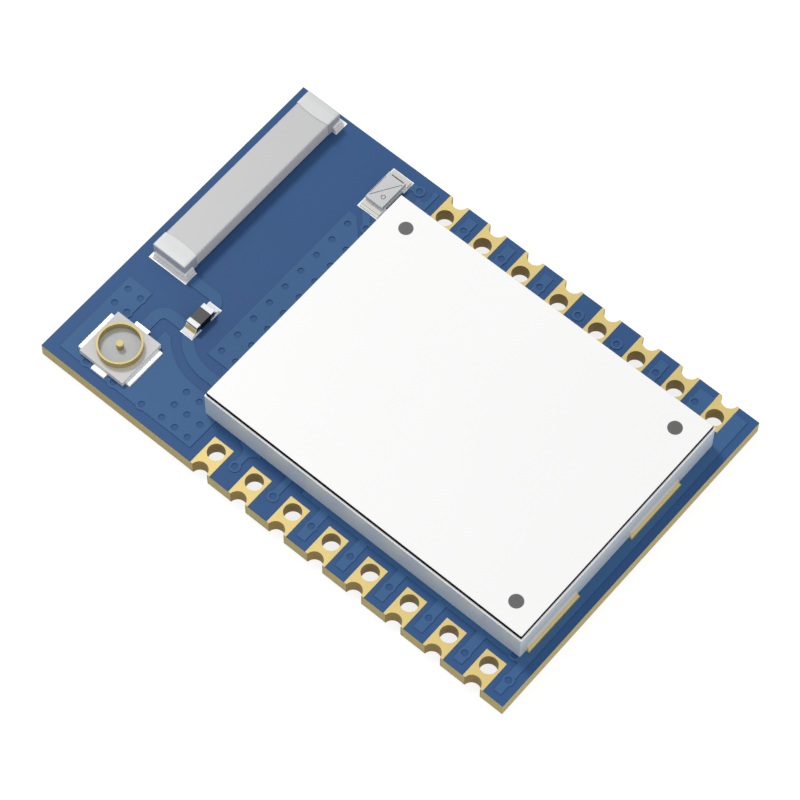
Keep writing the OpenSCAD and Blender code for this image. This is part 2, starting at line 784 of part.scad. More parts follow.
// The signal contact: the round pin, its square root in the housing, and a foot that leaves under the shell
module jack_pin_form() {
    translate([0, 0, jack_housing_h]) cylinder(d = jack_pin_d, h = jack_h - jack_housing_h);
    translate([-jack_root_w / 2, -jack_root_w / 2, 0]) cube([jack_root_w, jack_root_w, jack_housing_h]);
    translate([-jack_signal_w / 2, 0, 0]) cube([jack_signal_w, jack_reach - jack_land_edge, jack_foot_t]);
    translate([-jack_signal_w / 2 + jack_land_edge, jack_reach - jack_land_l + jack_land_edge, -mask_t])
        cube([jack_signal_w - 2 * jack_land_edge, jack_land_l - 2 * jack_land_edge, mask_t]);
}

// A ground foot along +X: it lies on its land, and a riser joins it to the shell through the housing
module ground_foot(w) {
    translate([jack_riser_x0, -w / 2 + jack_land_edge, 0])
        cube([jack_land_l - jack_land_edge, w - 2 * jack_land_edge, jack_foot_t]);
    translate([jack_riser_x0 + jack_land_edge, -w / 2 + jack_land_edge, -mask_t])
        cube([jack_land_l - 2 * jack_land_edge, w - 2 * jack_land_edge, mask_t]);
    translate([jack_riser_x0, -jack_riser_w / 2, 0])
        cube([jack_riser_x1 - jack_riser_x0, jack_riser_w, jack_housing_h]);
}

// The ground contact: the round shell, which stands on the housing, and three feet
module jack_shell_form() {
    translate([0, 0, jack_housing_h]) linear_extrude(jack_h - jack_housing_h)
        ring(jack_shell_r - jack_shell_t, jack_shell_t);
    for (a = [0, 180]) rotate(a) ground_foot(jack_ground_l);
    rotate(-90) ground_foot(jack_signal_w);
}

module jack_shell() color(gold) place(board_t) translate([jack_x, jack_y, 0]) jack_shell_form();

module jack_pin() color(gold) place(board_t) translate([jack_x, jack_y, 0]) jack_pin_form();

module jack_housing()
    color("#d5d5d6") place(board_t) translate([jack_x, jack_y, 0]) difference() {
        translate([-jack_half, -jack_half, 0]) cube([jack_side, jack_side, jack_housing_h]);
        jack_shell_form();
        jack_pin_form();
    }

module jack_lands() color(bright_metal) place(laminate_top) linear_extrude(copper_t) jack_land_four();

// ---------------------------------------------------------------- link resistor and lamp

module link_place() place(board_t) translate([link_x, link_y, 0]) children();

module link_body() color("#4a4a4c") link_place() two_end_body(link_l, link_w, link_h, link_cap_l, link_cap_t);

module link_caps() color(bright_metal) link_place() two_end_caps(link_l, link_w, link_h, link_cap_l, link_cap_t);

module link_lands() color(gold) place(laminate_top) linear_extrude(copper_t) link_land_pair();

module link_solder()
    color(solder_metal) {
        place(copper_top) linear_extrude(mask_t) link_land_pair(solder_edge);
        link_place() for (s = [0, 1]) mirror([0, s, 0])
            translate([-link_w / 2, link_l / 2, 0])
                solder_bar(link_w, link_land_reach - 2 * solder_edge, link_solder_rise);
    }

module lamp_place() place(board_t) translate([lamp_x, lamp_y, 0]) children();

module lamp_base() color("#e8e8e0") lamp_place() two_end_body(lamp_l, lamp_w, lamp_base_t, lamp_contact_l, lamp_contact_t);

module lamp_contacts() color(bright_metal) lamp_place() two_end_caps(lamp_l, lamp_w, lamp_base_t, lamp_contact_l, lamp_contact_t);

// Moulded lens with a slanting line, a small ring and two narrow slots sunk in its top
module lamp_lens() {
    l = lamp_l - 2 * lamp_lens_end;
    w = lamp_w - 2 * lamp_lens_side;
    color("#d2d2d3") lamp_place() translate([0, 0, lamp_base_t]) difference() {
        translate([-w / 2, -l / 2, 0]) cube([w, l, lamp_lens_h]);
        translate([0, 0, lamp_lens_h - lamp_mark_depth]) linear_extrude(1) {
            rotate(lamp_mark_turn) pane([0, 0], l * 0.92, lamp_mark_w);
            translate([w * 0.17, -l * 0.22]) ring(lamp_ring_r, lamp_mark_w);
            pane([lamp_slot_off, l / 2 - lamp_slot_in - lamp_slot_w / 2], w * 0.72, lamp_slot_w);
            pane([lamp_slot_in - w / 2, 0], lamp_mark_w * 0.7, l * 0.66);
        }
    }
}

module lamp_lands() color(bright_metal) place(laminate_top) linear_extrude(copper_t) lamp_land_pair();

module lamp_solder()
    color(solder_metal) {
        place(copper_top) linear_extrude(mask_t) lamp_land_pair(solder_edge);
        lamp_place() for (s = [0, 1]) mirror([0, s, 0])
            translate([-lamp_w / 2, lamp_l / 2, 0])
                solder_bar(lamp_w, lamp_land_reach - 2 * solder_edge, lamp_solder_rise);
    }

// ---------------------------------------------------------------- inside the can

module flat_chip(at, l, w, along_x, along_y, step)
    color(chip_black) place(copper_top) translate([at.x, at.y, 0]) difference() {
        translate([-l / 2, -w / 2, 0]) cube([l, w, chip_h]);
        translate([0, 0, -1]) linear_extrude(1 + lead_t) flat_leads(l, w, along_x, along_y, step);
    }

module flat_chip_leads(at, l, w, along_x, along_y, step)
    color(bright_metal) place(copper_top) translate([at.x, at.y, 0])
        linear_extrude(lead_t) flat_leads(l, w, along_x, along_y, step);

module radio_chip() flat_chip(radio_at, radio_side, radio_side, radio_leads(), radio_leads(), lead_step);

module radio_chip_leads()
    flat_chip_leads(radio_at, radio_side, radio_side, radio_leads(), radio_leads(), lead_step);

module memory_chip() flat_chip(memory_at, memory_l, memory_w, 0, memory_leads, memory_lead_step);

module memory_chip_leads() flat_chip_leads(memory_at, memory_l, memory_w, 0, memory_leads, memory_lead_step);

module amplifier_chip()
    flat_chip(amplifier_at, amplifier_side, amplifier_side, amplifier_leads(), amplifier_leads(), lead_step);

module amplifier_chip_leads()
    flat_chip_leads(amplifier_at, amplifier_side, amplifier_side, amplifier_leads(), amplifier_leads(), lead_step);

module crystal_base()
    color("#d8cfae") place(copper_top) linear_extrude(crystal_base_t) pane(crystal_at, crystal_l, crystal_w);

module crystal_lid()
    color("#c9c5b4") place(copper_top + crystal_base_t) linear_extrude(crystal_h - crystal_base_t)
        pane(crystal_at, crystal_l, crystal_w, -crystal_rim);

module small_parts(at) place(copper_top) for (c = at) translate([c.x, c.y, 0]) children();

module small_capacitors()
    color("#a58a6a") small_parts(capacitor_at) two_end_body(small_l, small_w, small_h, small_cap_l, small_cap_t);

module small_coils()
    color("#6d7f95") small_parts(coil_at) two_end_body(small_l, small_w, small_h, small_cap_l, small_cap_t);

module small_part_caps()
    color(bright_metal) small_parts(concat(capacitor_at, coil_at))
        two_end_caps(small_l, small_w, small_h, small_cap_l, small_cap_t);

module inner_lands() color(gold) place(laminate_top) linear_extrude(copper_t) inner_land_plan();

// ---------------------------------------------------------------- all nodes

substrate();
top_copper();
bottom_copper();
top_solder_mask();
bottom_solder_mask();
for (i = [1:2 * pad_count]) castellated_pad(i);
shield_can();
label_adhesive();
label_face();
shield_lands();
shield_solder();
antenna_body();
antenna_feed_cap();
antenna_end_cap();
antenna_lands();
antenna_solder();
jack_housing();
jack_shell();
jack_pin();
jack_lands();
link_body();
link_caps();
link_lands();
link_solder();
lamp_base();
lamp_lens();
lamp_contacts();
lamp_lands();
lamp_solder();
radio_chip();
radio_chip_leads();
memory_chip();
memory_chip_leads();
amplifier_chip();
amplifier_chip_leads();
crystal_base();
crystal_lid();
small_capacitors();
small_coils();
small_part_caps();
inner_lands();
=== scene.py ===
"""Dresses a small wireless circuit module: a blue board with castellated pads, a labelled shield can,
a ceramic chip antenna and a miniature coaxial jack, in a plain studio."""

import math

import bpy
import numpy as np
from mathutils import Matrix, Vector


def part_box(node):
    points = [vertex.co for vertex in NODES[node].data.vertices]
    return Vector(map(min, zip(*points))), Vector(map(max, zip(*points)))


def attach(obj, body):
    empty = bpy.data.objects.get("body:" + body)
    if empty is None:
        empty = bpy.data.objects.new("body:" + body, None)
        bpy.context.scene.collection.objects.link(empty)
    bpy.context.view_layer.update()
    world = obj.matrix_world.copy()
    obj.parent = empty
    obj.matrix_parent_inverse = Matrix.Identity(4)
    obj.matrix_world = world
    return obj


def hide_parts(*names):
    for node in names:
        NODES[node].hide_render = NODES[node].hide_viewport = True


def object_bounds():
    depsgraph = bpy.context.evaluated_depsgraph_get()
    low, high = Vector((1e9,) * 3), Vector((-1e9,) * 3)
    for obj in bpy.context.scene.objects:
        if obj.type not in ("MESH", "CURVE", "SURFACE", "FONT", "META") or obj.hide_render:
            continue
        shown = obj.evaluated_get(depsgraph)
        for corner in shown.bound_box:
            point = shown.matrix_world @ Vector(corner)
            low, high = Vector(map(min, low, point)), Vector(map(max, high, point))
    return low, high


bl_info = {
    "name": "Wireless circuit module",
    "version": (1, 0, 0),
    "blender": (4, 5, 0),
    "location": "3D View > Sidebar > Module",
    "description": "Finishes, solder joints and studio of a small wireless circuit module",
    "category": "Object",
}

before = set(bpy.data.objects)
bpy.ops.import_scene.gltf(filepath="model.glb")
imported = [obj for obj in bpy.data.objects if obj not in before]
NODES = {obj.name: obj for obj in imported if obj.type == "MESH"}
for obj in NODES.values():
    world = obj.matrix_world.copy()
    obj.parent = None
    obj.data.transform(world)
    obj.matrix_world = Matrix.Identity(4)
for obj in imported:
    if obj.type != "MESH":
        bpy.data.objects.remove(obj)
CAD_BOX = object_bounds()
MM = 0.001
QUARTER = math.pi / 2

# Places of the two colours among a Mix node's inputs, and of the mixed colour among its outputs
FIRST, SECOND, MIXED = 6, 7, 2

# Where the camera stands, in mm, and its yaw from +X, its pitch from level and its roll, in degrees
CAMERA_PLACE = (42.955, -52.559, 132.30)
CAMERA_TURN = (129.208, -62.953, 1.268)


# ---------------------------------------------------------------- colours and nodes


def linear(hex_code):
    """sRGB hex to linear red, green and blue: each channel c is ((c + 0.055) / 1.055) to the power 2.4, or
    c / 12.92 near black."""
    channels = [int(hex_code[i:i + 2], 16) / 255 for i in (0, 2, 4)]
    return tuple(c / 12.92 if c <= 0.04045 else ((c + 0.055) / 1.055) ** 2.4 for c in channels)


def add(tree, kind, inputs=None, **settings):
    """Adds one shader node. The settings go on the node itself. Each input, given by name or place, is
    another node's output, a number, a vector or a colour without its opacity."""
    made = tree.nodes.new("ShaderNode" + kind)
    for key, value in settings.items():
        setattr(made, key, value)
    for key, value in (inputs or {}).items():
        socket = made.inputs[key]
        if isinstance(value, bpy.types.NodeSocket):
            tree.links.new(value, socket)
        elif socket.type == "RGBA":
            socket.default_value = (*value, 1.0)
        else:
            socket.default_value = value
    return made


def new_finish(name, surface):
    """A material whose surface is one Principled shader with these inputs. Returns the material, its tree,
    the shader and the Object coordinate."""
    material = bpy.data.materials.new(name)
    material.use_nodes = True
    tree = material.node_tree
    tree.nodes.clear()
    shader = add(tree, "BsdfPrincipled", surface)
    add(tree, "OutputMaterial", {"Surface": shader.outputs["BSDF"]})
    where = add(tree, "TexCoord").outputs["Object"]
    return material, tree, shader, where


def per_mm(size_mm):
    """Texture scale at which a pattern repeats about every size_mm, on coordinates in metres."""
    return 1.0 / (size_mm * MM)


def scaled(colour, share):
    """A colour made darker or paler, up to white."""
    return tuple(min(1.0, c * share) for c in colour)


def facing(tree, start=0.0, end=1.0):
    """Share by which a face looks up or down: the size of its normal's Z, start to end as 0 to 1."""
    normal = add(tree, "SeparateXYZ", {"Vector": add(tree, "NewGeometry").outputs["True Normal"]})
    size = add(tree, "Math", {0: normal.outputs["Z"]}, operation="ABSOLUTE")
    return add(tree, "MapRange", {"Value": size.outputs[0], "From Min": start, "From Max": end}).outputs[0]


def mottle(tree, shader, where, colour, depth, size_mm, bump_mm, grain_mm):
    """Colour that wanders by the share depth over size_mm, and a bump of bump_mm over grain_mm. Returns the
    colour."""
    noise = add(tree, "TexNoise", {"Vector": where, "Scale": per_mm(size_mm), "Detail": 3.0})
    mix = add(tree, "Mix", {"Factor": noise.outputs["Fac"], FIRST: scaled(colour, 1 - depth),
                            SECOND: scaled(colour, 1 + depth)}, data_type="RGBA").outputs[MIXED]
    tree.links.new(mix, shader.inputs["Base Color"])
    grain = add(tree, "TexNoise", {"Vector": where, "Scale": per_mm(grain_mm), "Detail": 2.0})
    relief = add(tree, "Bump", {"Height": grain.outputs["Fac"], "Distance": bump_mm * MM})
    tree.links.new(relief.outputs["Normal"], shader.inputs["Normal"])
    return mix


def other_walls(tree, shader, top, wall, start=0.0, end=1.0):
    """Gives faces that look up or down the colour top, and faces that look sideways the colour wall.
    Returns the share by which a face looks up or down."""
    flat = facing(tree, start, end)
    mix = add(tree, "Mix", {"Factor": flat, FIRST: wall, SECOND: top}, data_type="RGBA")
    tree.links.new(mix.outputs[MIXED], shader.inputs["Base Color"])
    return flat


def vary(tree, shader, share, **ends):
    """Makes inputs of the shader go from their first to their last value as the share goes from 0 to 1."""
    for name, (first, last) in ends.items():
        value = add(tree, "MapRange", {"Value": share, "To Min": first, "To Max": last})
        tree.links.new(value.outputs[0], shader.inputs[name])


def paint(material, *names):
    """Gives the CAD nodes of these names one material."""
    for name in names:
        mesh = NODES[name].data
        mesh.materials.clear()
        mesh.materials.append(material)


# ---------------------------------------------------------------- meshes


def points_of(node):
    """Every corner of a CAD node's mesh, one a row."""
    vertices = NODES[node].data.vertices
    flat = np.empty(3 * len(vertices), np.float32)
    vertices.foreach_get("co", flat)
    return flat.reshape(-1, 3).astype(float)


def signed_volume(points, triangles):
    """Sum over the triangles of a . (b x c) / 6, positive where the faces point outwards."""
    a, b, c = (points[triangles[:, i]] for i in range(3))
    return float(np.einsum("ij,ij->i", a, np.cross(b, c)).sum() / 6)


def skin(rings):
    """Closed skin through a stack of loops. rings[i, j] is point j of loop i: quads, each cut in two, join
    neighbouring loops, and a fan about the mean of each end loop closes the ends. Returns points and
    triangles, turned to face outwards."""
    rings = np.asarray(rings, float)
    n, m, _ = rings.shape
    points = np.vstack([rings.reshape(-1, 3), rings[0].mean(0), rings[-1].mean(0)])
    low = np.arange(n - 1)[:, None] * m
    j = np.arange(m)
    k = (j + 1) % m
    a, b, c, d = (low + j).ravel(), (low + k).ravel(), (low + m + k).ravel(), (low + m + j).ravel()
    last = (n - 1) * m
    triangles = np.vstack([
        np.stack([a, b, c], 1),
        np.stack([a, c, d], 1),
        np.stack([np.full(m, n * m), k, j], 1),
        np.stack([np.full(m, n * m + 1), last + j, last + k], 1),
    ])
    if signed_volume(points, triangles) < 0:
        triangles = triangles[:, ::-1]
    return points, triangles


def piece(name, skins, material, slot, *replaced, sharp=40):
    """One object from several closed skins, smooth where its faces meet at less than sharp degrees. It
    rides on the board and stands for the CAD nodes it replaces."""
    points, triangles, start = [], [], 0
    for p, t in skins:
        points.append(p)
        triangles.append(t + start)
        start += len(p)
    mesh = bpy.data.meshes.new(name)
    mesh.from_pydata(np.vstack(points).tolist(), [], np.vstack(triangles).tolist())
    mesh.update()
    mesh.shade_smooth()
    mesh.set_sharp_from_angle(angle=math.radians(sharp))
    mesh.materials.append(material)
    made = bpy.data.objects.new(name, mesh)
    bpy.context.scene.collection.objects.link(made)
    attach(made, "root")
    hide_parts(*replaced)


def rounded_loop(length, width, radius, between=0):
    """Rounded rectangle about the origin as points (x, y): a quarter circle of this radius about each
    corner's centre, and on each straight side as many points as between says."""
    turn = np.linspace(0, QUARTER, 6)
    corners = []
    for i, (sx, sy) in enumerate(((1, 1), (-1, 1), (-1, -1), (1, -1))):
        angle = turn + i * QUARTER
        corners.append(np.stack([sx * (length / 2 - radius) + radius * np.cos(angle),
                                 sy * (width / 2 - radius) + radius * np.sin(angle)], 1))
    share = np.linspace(0, 1, between + 2)[1:-1, None]
    sides = [corners[i][-1] * (1 - share) + corners[(i + 1) % 4][0] * share for i in range(4)]
    return np.vstack([part for pair in zip(corners, sides) for part in pair])


def at_level(loop, level):
    """A plan loop's points (x, y) at one height."""
    return np.column_stack([loop, np.full(len(loop), level)])


def solder_sheet(low, high, bottom, top, radius):
    """Film of solder between two plan corners: a rounded rectangle whose upper rim draws in by a quarter
    circle of 0.02 mm, or of the film's thickness where that is less."""
    size = np.subtract(high, low)
    middle = np.add(high, low) / 2
    rim = min(top - bottom, 0.02 * MM)
    turn = np.linspace(0, QUARTER, 4)
    insets = [0.0, *(rim * (1 - np.cos(turn)))]
    levels = [bottom, *(top - rim + rim * np.sin(turn))]
    rings = []
    for inset, level in zip(insets, levels):
        loop = rounded_loop(*(size - 2 * inset), radius - min(inset, radius / 2))
        rings.append(at_level(loop + middle, level))
    return skin(rings)


def solder_skirt(path, outward, base, reach, rise):
    """Meniscus of solder along a path: at each point the surface leaves the wall at height rise and meets
    the land at distance reach, on the curve s = reach (1 - cos a), z = rise (1 - sin a) for a from 0 to 90
    degrees, with a thin foot under it. reach and rise are arrays along the path, outward the wall's plan
    normals."""
    turn = np.linspace(0, QUARTER, 10)
    foot = 0.012 * MM
    s = np.concatenate([1 - np.cos(turn), [1.0, 0.0]])
    z = np.concatenate([1 - np.sin(turn), [0.0, 0.0]])
    lift = np.concatenate([np.full(len(turn), foot), [0.0, 0.0]])
    plan = path[:, None, :] + outward[:, None, :] * (s[None, :, None] * reach[:, None, None])
    height = base + lift[None, :] + z[None, :] * rise[:, None]
    return skin(np.dstack([plan, height]))


def solder_steps(path, outward, base, profile):
    """Stepped joint along a path: the profile, points (reach, height) in mm from the top of the wall down
    to the land, is carried along with its reach laid on the wall's plan normals, and closed along the foot
    of the wall."""
    reach, rise = np.array(profile + [(profile[-1][0], 0.0), (0.0, 0.0)]).T * MM
    plan = path[:, None, :] + outward[:, None, :] * reach[None, :, None]
    return skin(np.dstack([plan, np.broadcast_to(base + rise, plan.shape[:2])]))


def tapered(count, end_share):
    """Numbers that rise from end_share to 1 over the first sixth of the way and fall again over the last,
    as a raised cosine."""
    t = np.linspace(0, 1, count)
    edge = np.clip(np.minimum(t, 1 - t) * 6, 0, 1)
    return end_share + (1 - end_share) * (0.5 - 0.5 * np.cos(math.pi * edge))


def straight_skirt(start, end, outward, base, reach, rise, end_share):
    """A skirt along the straight line from start to end, drawn in to end_share at both ends."""
    count = 25
    t = np.linspace(0, 1, count)[:, None]
    path = np.asarray(start) * (1 - t) + np.asarray(end) * t
    swell = tapered(count, end_share)
    return solder_skirt(path, np.tile(outward, (count, 1)).astype(float), base, reach * swell, rise * swell)


# ---------------------------------------------------------------- settings


def colour_property(name, hex_code, text):
    """A colour that can be changed in the panel, from its sRGB hex value."""
    return bpy.props.FloatVectorProperty(name=name, description=text, subtype="COLOR", size=3, min=0, max=1,
                                         default=linear(hex_code))


def length_property(name, millimetres, text):
    """A length that can be changed in the panel, from its value in millimetres."""
    return bpy.props.FloatProperty(name=name, description=text, subtype="DISTANCE", unit="LENGTH", min=0,
                                   max=1, precision=5, default=millimetres * MM)


class ModuleFinishes(bpy.types.PropertyGroup):
    """Colours of the module's parts."""

    mask_bare: colour_property("Mask on laminate", "315788", "Solder mask where no copper lies under it")
    mask_copper: colour_property("Mask on copper", "3A628F", "Solder mask where it covers copper")
    laminate: colour_property("Laminate", "C6B26A", "Cut edge of the glass-epoxy board")
    copper: colour_property("Copper", "C88A5E", "Copper foil under the mask")
    gold: colour_property("Gold", "DCC57F", "Immersion gold on pads and lands")
    # Painted shade: the darker gold of the hole walls stands in for the shade inside the holes
    hole_wall: colour_property("Hole wall", "8F7739", "Plated wall inside the pad holes")
    tin: colour_property("Tin", "F8F9FA", "Fused tin on lands and contacts")
    # Painted highlight: the pure white of the can's folds; painted shade and painted reflection: the cool
    # grey of its walls
    can: colour_property("Shield can", "FFFFFF", "Tinned sheet metal, top and folds")
    can_wall: colour_property("Shield can walls", "DAE2E7", "Tinned sheet metal, ironed walls")
    can_solder: colour_property("Shield can solder", "FAF6EE", "Upper edge of the solder on the can's walls")
    label: colour_property("Label", "FCFAF8", "White label film")
    print_grey: colour_property("Print", "5F5D5D", "Printed marks on the label")
    # Painted shadow: the black of the layer that shows past the label film stands in for the shade at the
    # label's edge
    tape_shadow: colour_property("Label tape", "060607", "Black tape under the label")
    ceramic: colour_property("Antenna", "C0BFBE", "Glazed antenna ceramic")
    # Painted light: the paler colour of the antenna's sides
    ceramic_wall: colour_property("Antenna sides", "DFDAD6", "Sawn sides of the antenna ceramic")
    cap: colour_property("Antenna caps", "CECFCE", "Matt tin on the antenna's end caps")
    # Painted shade and painted reflection: the bluer grey of the antenna caps' walls
    cap_wall: colour_property("Antenna cap walls", "C2C4CA", "Matt tin on the walls of the antenna's caps")
    antenna_solder: colour_property("Antenna solder", "F0EDE8", "Solder round the antenna's end caps")
    housing: colour_property("Jack housing", "D6D3D2", "Moulded insulator of the coaxial jack")
    # Painted shade: the greyer colour of the floor recessed inside the jack's round shell
    housing_floor: colour_property("Jack floor", "C4C6C7", "Insulator inside the jack's round contact")
    resistor: colour_property("Resistor", "505051", "Dark glaze of the link resistor")
    # Painted shade: the nearly black colour of the resistor's sides
    resistor_wall: colour_property("Resistor sides", "101114", "Sides of the link resistor")
    link_cap: colour_property("Resistor caps", "D6D8D6", "Plated ends of the link resistor")
    # Painted reflection and painted shade: the dark blue-grey of the walls of the resistor's ends
    link_cap_wall: colour_property("Resistor cap walls", "747C90", "Walls of the resistor's plated ends")
    # Painted shade and painted reflection: the yellow strip on the steep solder face at the resistor's -Y
    # end
    painted_fillet_shade: colour_property("Flux", "CDB968", "Residue of flux on the link resistor's solder")
    lamp: colour_property("Lamp", "D0D0CF", "Epoxy lens of the lamp")
    # Painted shade: the dark colour of the floors of the marks sunk in the lamp's lens
    lamp_mark_shade: colour_property("Lamp marks", "3A3A39", "Ink in the marks on the lamp's lens")
    lamp_base: colour_property("Lamp base", "D2D0C8", "Moulded base of the lamp")
    lamp_solder: colour_property("Lamp solder", "D8D6CC", "Solder on the lamp's contacts")
    chip: colour_property("Chips", "26262A", "Moulded epoxy of the chips inside the can")
    capacitor: colour_property("Capacitors", "A58A6A", "Fired ceramic of the small capacitors")
    coil: colour_property("Coils", "6D7F95", "Fired ceramic of the small coils")
    crystal_lid: colour_property("Crystal lid", "C9C5B4", "Nickel plating on the crystal's lid")
    crystal_base: colour_property("Crystal base", "D8CFAE", "Fired alumina of the crystal's base")


class ModuleSizes(bpy.types.PropertyGroup):
    """Sizes of the solder joints and the label."""

    solder_film: length_property("Solder film", 0.02, "Thickness of the solder between a part and its land")
    land_border: length_property("Land border", 0.03, "Bare rim of a land round its solder")
    antenna_rise: length_property("Antenna solder", 0.36, "Height of the solder on the antenna's end caps")
    link_rise: length_property("Resistor solder", 0.26, "Height of the solder on the resistor's end caps")
    lamp_rise: length_property("Lamp solder", 0.1, "Height of the solder on the lamp's contacts")
    shield_rise: length_property("Shield solder", 0.48, "Height of the solder on the can's end walls")
    # The black layer that shows past the film is a painted shadow at the label's edge
    tape_edge: length_property("Tape edge", 0.02, "How far the black tape shows past the label film")
    dot_diameter: length_property("Label dot", 0.62, "Diameter of the round marks on the label")


class ModuleStudio(bpy.types.PropertyGroup):
    """Camera and lamps."""

    lens: bpy.props.FloatProperty(name="Lens", description="Focal length on a 36 mm sensor", unit="CAMERA",
                                  default=166.98, min=20, max=400)
    key: bpy.props.FloatProperty(name="Key lamp", description="Power of the main soft lamp", unit="POWER",
                                 default=0.18, min=0, max=10)
    fill: bpy.props.FloatProperty(name="Fill lamp", description="Power of the low fill lamp", unit="POWER",
                                  default=0.09, min=0, max=10)
    room: bpy.props.FloatProperty(name="Room", description="Strength of the room's even light",
                                  subtype="FACTOR", default=0.62, min=0, max=2)


# ---------------------------------------------------------------- the board


def finish_solder_mask(colours):
    """Curtain-coated epoxy solder mask, cured to a silky sheen: it follows the copper, so it lies higher
    and shows paler over a track, and its surface has a faint orange peel."""
    low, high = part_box("substrate")
    middle, bare = (high.z + low.z) / 2, (high.z - low.z) / 2
    material, tree, shader, where = new_finish("epoxy_solder_mask", {
        "Roughness": 0.5, "Specular IOR Level": 0.2})
    height = add(tree, "SeparateXYZ", {"Vector": where}).outputs["Z"]
    off = add(tree, "Math", {0: height, 1: middle}, operation="SUBTRACT").outputs[0]
    away = add(tree, "Math", {0: off}, operation="ABSOLUTE").outputs[0]
    # The mask's face lies 0.02 mm from bare laminate and 0.055 mm from it over copper
    raised = add(tree, "MapRange", {"Value": away, "From Min": bare + 0.026 * MM,
                                    "From Max": bare + 0.050 * MM})
    mix = add(tree, "Mix", {"Factor": raised.outputs[0], FIRST: colours.mask_bare,
                            SECOND: colours.mask_copper}, data_type="RGBA")
    cloud = add(tree, "TexNoise", {"Vector": where, "Scale": per_mm(6.0), "Detail": 2.0})
    level = add(tree, "MapRange", {"Value": cloud.outputs["Fac"], "To Min": 0.94, "To Max": 1.06})
    shade = add(tree, "VectorMath", {0: mix.outputs[MIXED], "Scale": level.outputs[0]}, operation="SCALE")
    tree.links.new(shade.outputs[0], shader.inputs["Base Color"])
    peel = add(tree, "TexNoise", {"Vector": where, "Scale": per_mm(0.35), "Detail": 2.0})
    relief = add(tree, "Bump", {"Height": peel.outputs["Fac"], "Distance": 0.0012 * MM})
    tree.links.new(relief.outputs["Normal"], shader.inputs["Normal"])
    return material


def finish_laminate(colours):
    """Routed glass-epoxy: cloth layers 0.11 mm apart show as faint lines along the cut, with a fine matt
    tooth."""
    layer_mm = 0.11
    material, tree, shader, where = new_finish("routed_glass_epoxy", {"Roughness": 0.62, "IOR": 1.55})
    height = add(tree, "SeparateXYZ", {"Vector": where}).outputs["Z"]
    turns = add(tree, "Math", {0: height, 1: 2 * math.pi * per_mm(layer_mm)}, operation="MULTIPLY")
    wave = add(tree, "Math", {0: turns.outputs[0]}, operation="SINE").outputs[0]
    fibres = add(tree, "TexNoise", {"Vector": where, "Scale": per_mm(0.25), "Detail": 4.0}).outputs["Fac"]
    lines = add(tree, "Math", {0: wave, 1: 0.25, 2: fibres}, operation="MULTIPLY_ADD").outputs[0]
    mix = add(tree, "Mix", {"Factor": lines, FIRST: scaled(colours.laminate, 0.86),
                            SECOND: scaled(colours.laminate, 1.1)}, data_type="RGBA")
    tree.links.new(mix.outputs[MIXED], shader.inputs["Base Color"])
    relief = add(tree, "Bump", {"Height": fibres, "Distance": 0.004 * MM})
    tree.links.new(relief.outputs["Normal"], shader.inputs["Normal"])
    return material


def finish_copper(colours):
    """Electrodeposited copper foil under the mask: warm metal with a micro-etched, half-matt surface."""
    material, tree, shader, where = new_finish("etched_copper_foil", {"Metallic": 1.0, "Roughness": 0.5})
    mottle(tree, shader, where, colours.copper, depth=0.08, size_mm=0.4, bump_mm=0.001, grain_mm=0.05)
    return material


def finish_gold(colours):
    """Immersion gold over nickel: a pale satin yellow that takes the copper's fine grain. The walls of the
    holes, which face sideways, are painted darker: painted shade inside the holes."""
    material, tree, shader, where = new_finish("immersion_gold", {
        "Metallic": 0.4, "Roughness": 0.5, "Specular IOR Level": 0.2})
    mix = mottle(tree, shader, where, colours.gold, depth=0.035, size_mm=0.3, bump_mm=0.0015, grain_mm=0.06)
    # Sideways faces, the walls of the holes, get the darker colour: painted shade
    other_walls(tree, shader, mix, colours.hole_wall)
    return material


class MODULE_OT_board(bpy.types.Operator):
    """Finishes the laminate, the copper and the solder mask"""

    bl_idname = "module.board"
    bl_label = "Board"

    def execute(self, context):
        colours = context.scene.module_finishes
        paint(finish_laminate(colours), "substrate")
        paint(finish_copper(colours), "top_copper", "bottom_copper")
        paint(finish_solder_mask(colours), "top_solder_mask", "bottom_solder_mask")
        return {"FINISHED"}


class MODULE_OT_pads(bpy.types.Operator):
    """Gold-plates the castellated pads and the bare lands"""

    bl_idname = "module.pads"
    bl_label = "Pads and gold lands"

    def execute(self, context):
        gold = finish_gold(context.scene.module_finishes)
        paint(gold, *[name for name in NODES if name.startswith("pad_")])
        paint(gold, "shield_lands", "inner_lands")
        return {"FINISHED"}


# ---------------------------------------------------------------- tin and solder


def finish_tin(name, top, wall):
    """Hot-dipped tin: nearly white and satin where it lies flat, a thin darker mirror where it ran down a
    wall. Where the colour wall is darker than top, as on the link resistor's ends, the walls carry painted
    shade and painted reflection of the blue board."""
    material, tree, shader, where = new_finish(name, {"Specular IOR Level": 0.2})
    mix = mottle(tree, shader, where, top, depth=0.02, size_mm=0.35, bump_mm=0.002, grain_mm=0.12)
    flat = other_walls(tree, shader, mix, wall, start=0.2, end=0.6)
    vary(tree, shader, flat, Metallic=(0.95, 0.3), Roughness=(0.2, 0.45))
    return material


def dipped_tin(colours):
    """The plain tin that lands, leads and contacts share."""
    name = "hot_dipped_tin"
    return bpy.data.materials.get(name) or finish_tin(name, colours.tin, colours.tin)


def finish_cap(colours):
    """Matt tin over fired silver on the ends of the antenna: pale grey, with the tooth of the fired layer.
    The walls are painted a bluer grey: painted shade and painted reflection of the blue board."""
    material, tree, shader, where = new_finish("matt_tin_cap", {
        "Metallic": 0.25, "Roughness": 0.5, "Specular IOR Level": 0.2})
    mix = mottle(tree, shader, where, colours.cap, depth=0.02, size_mm=0.3, bump_mm=0.002, grain_mm=0.08)
    # Sideways faces get the bluer grey: painted shade and painted reflection
    other_walls(tree, shader, mix, colours.cap_wall)
    return material


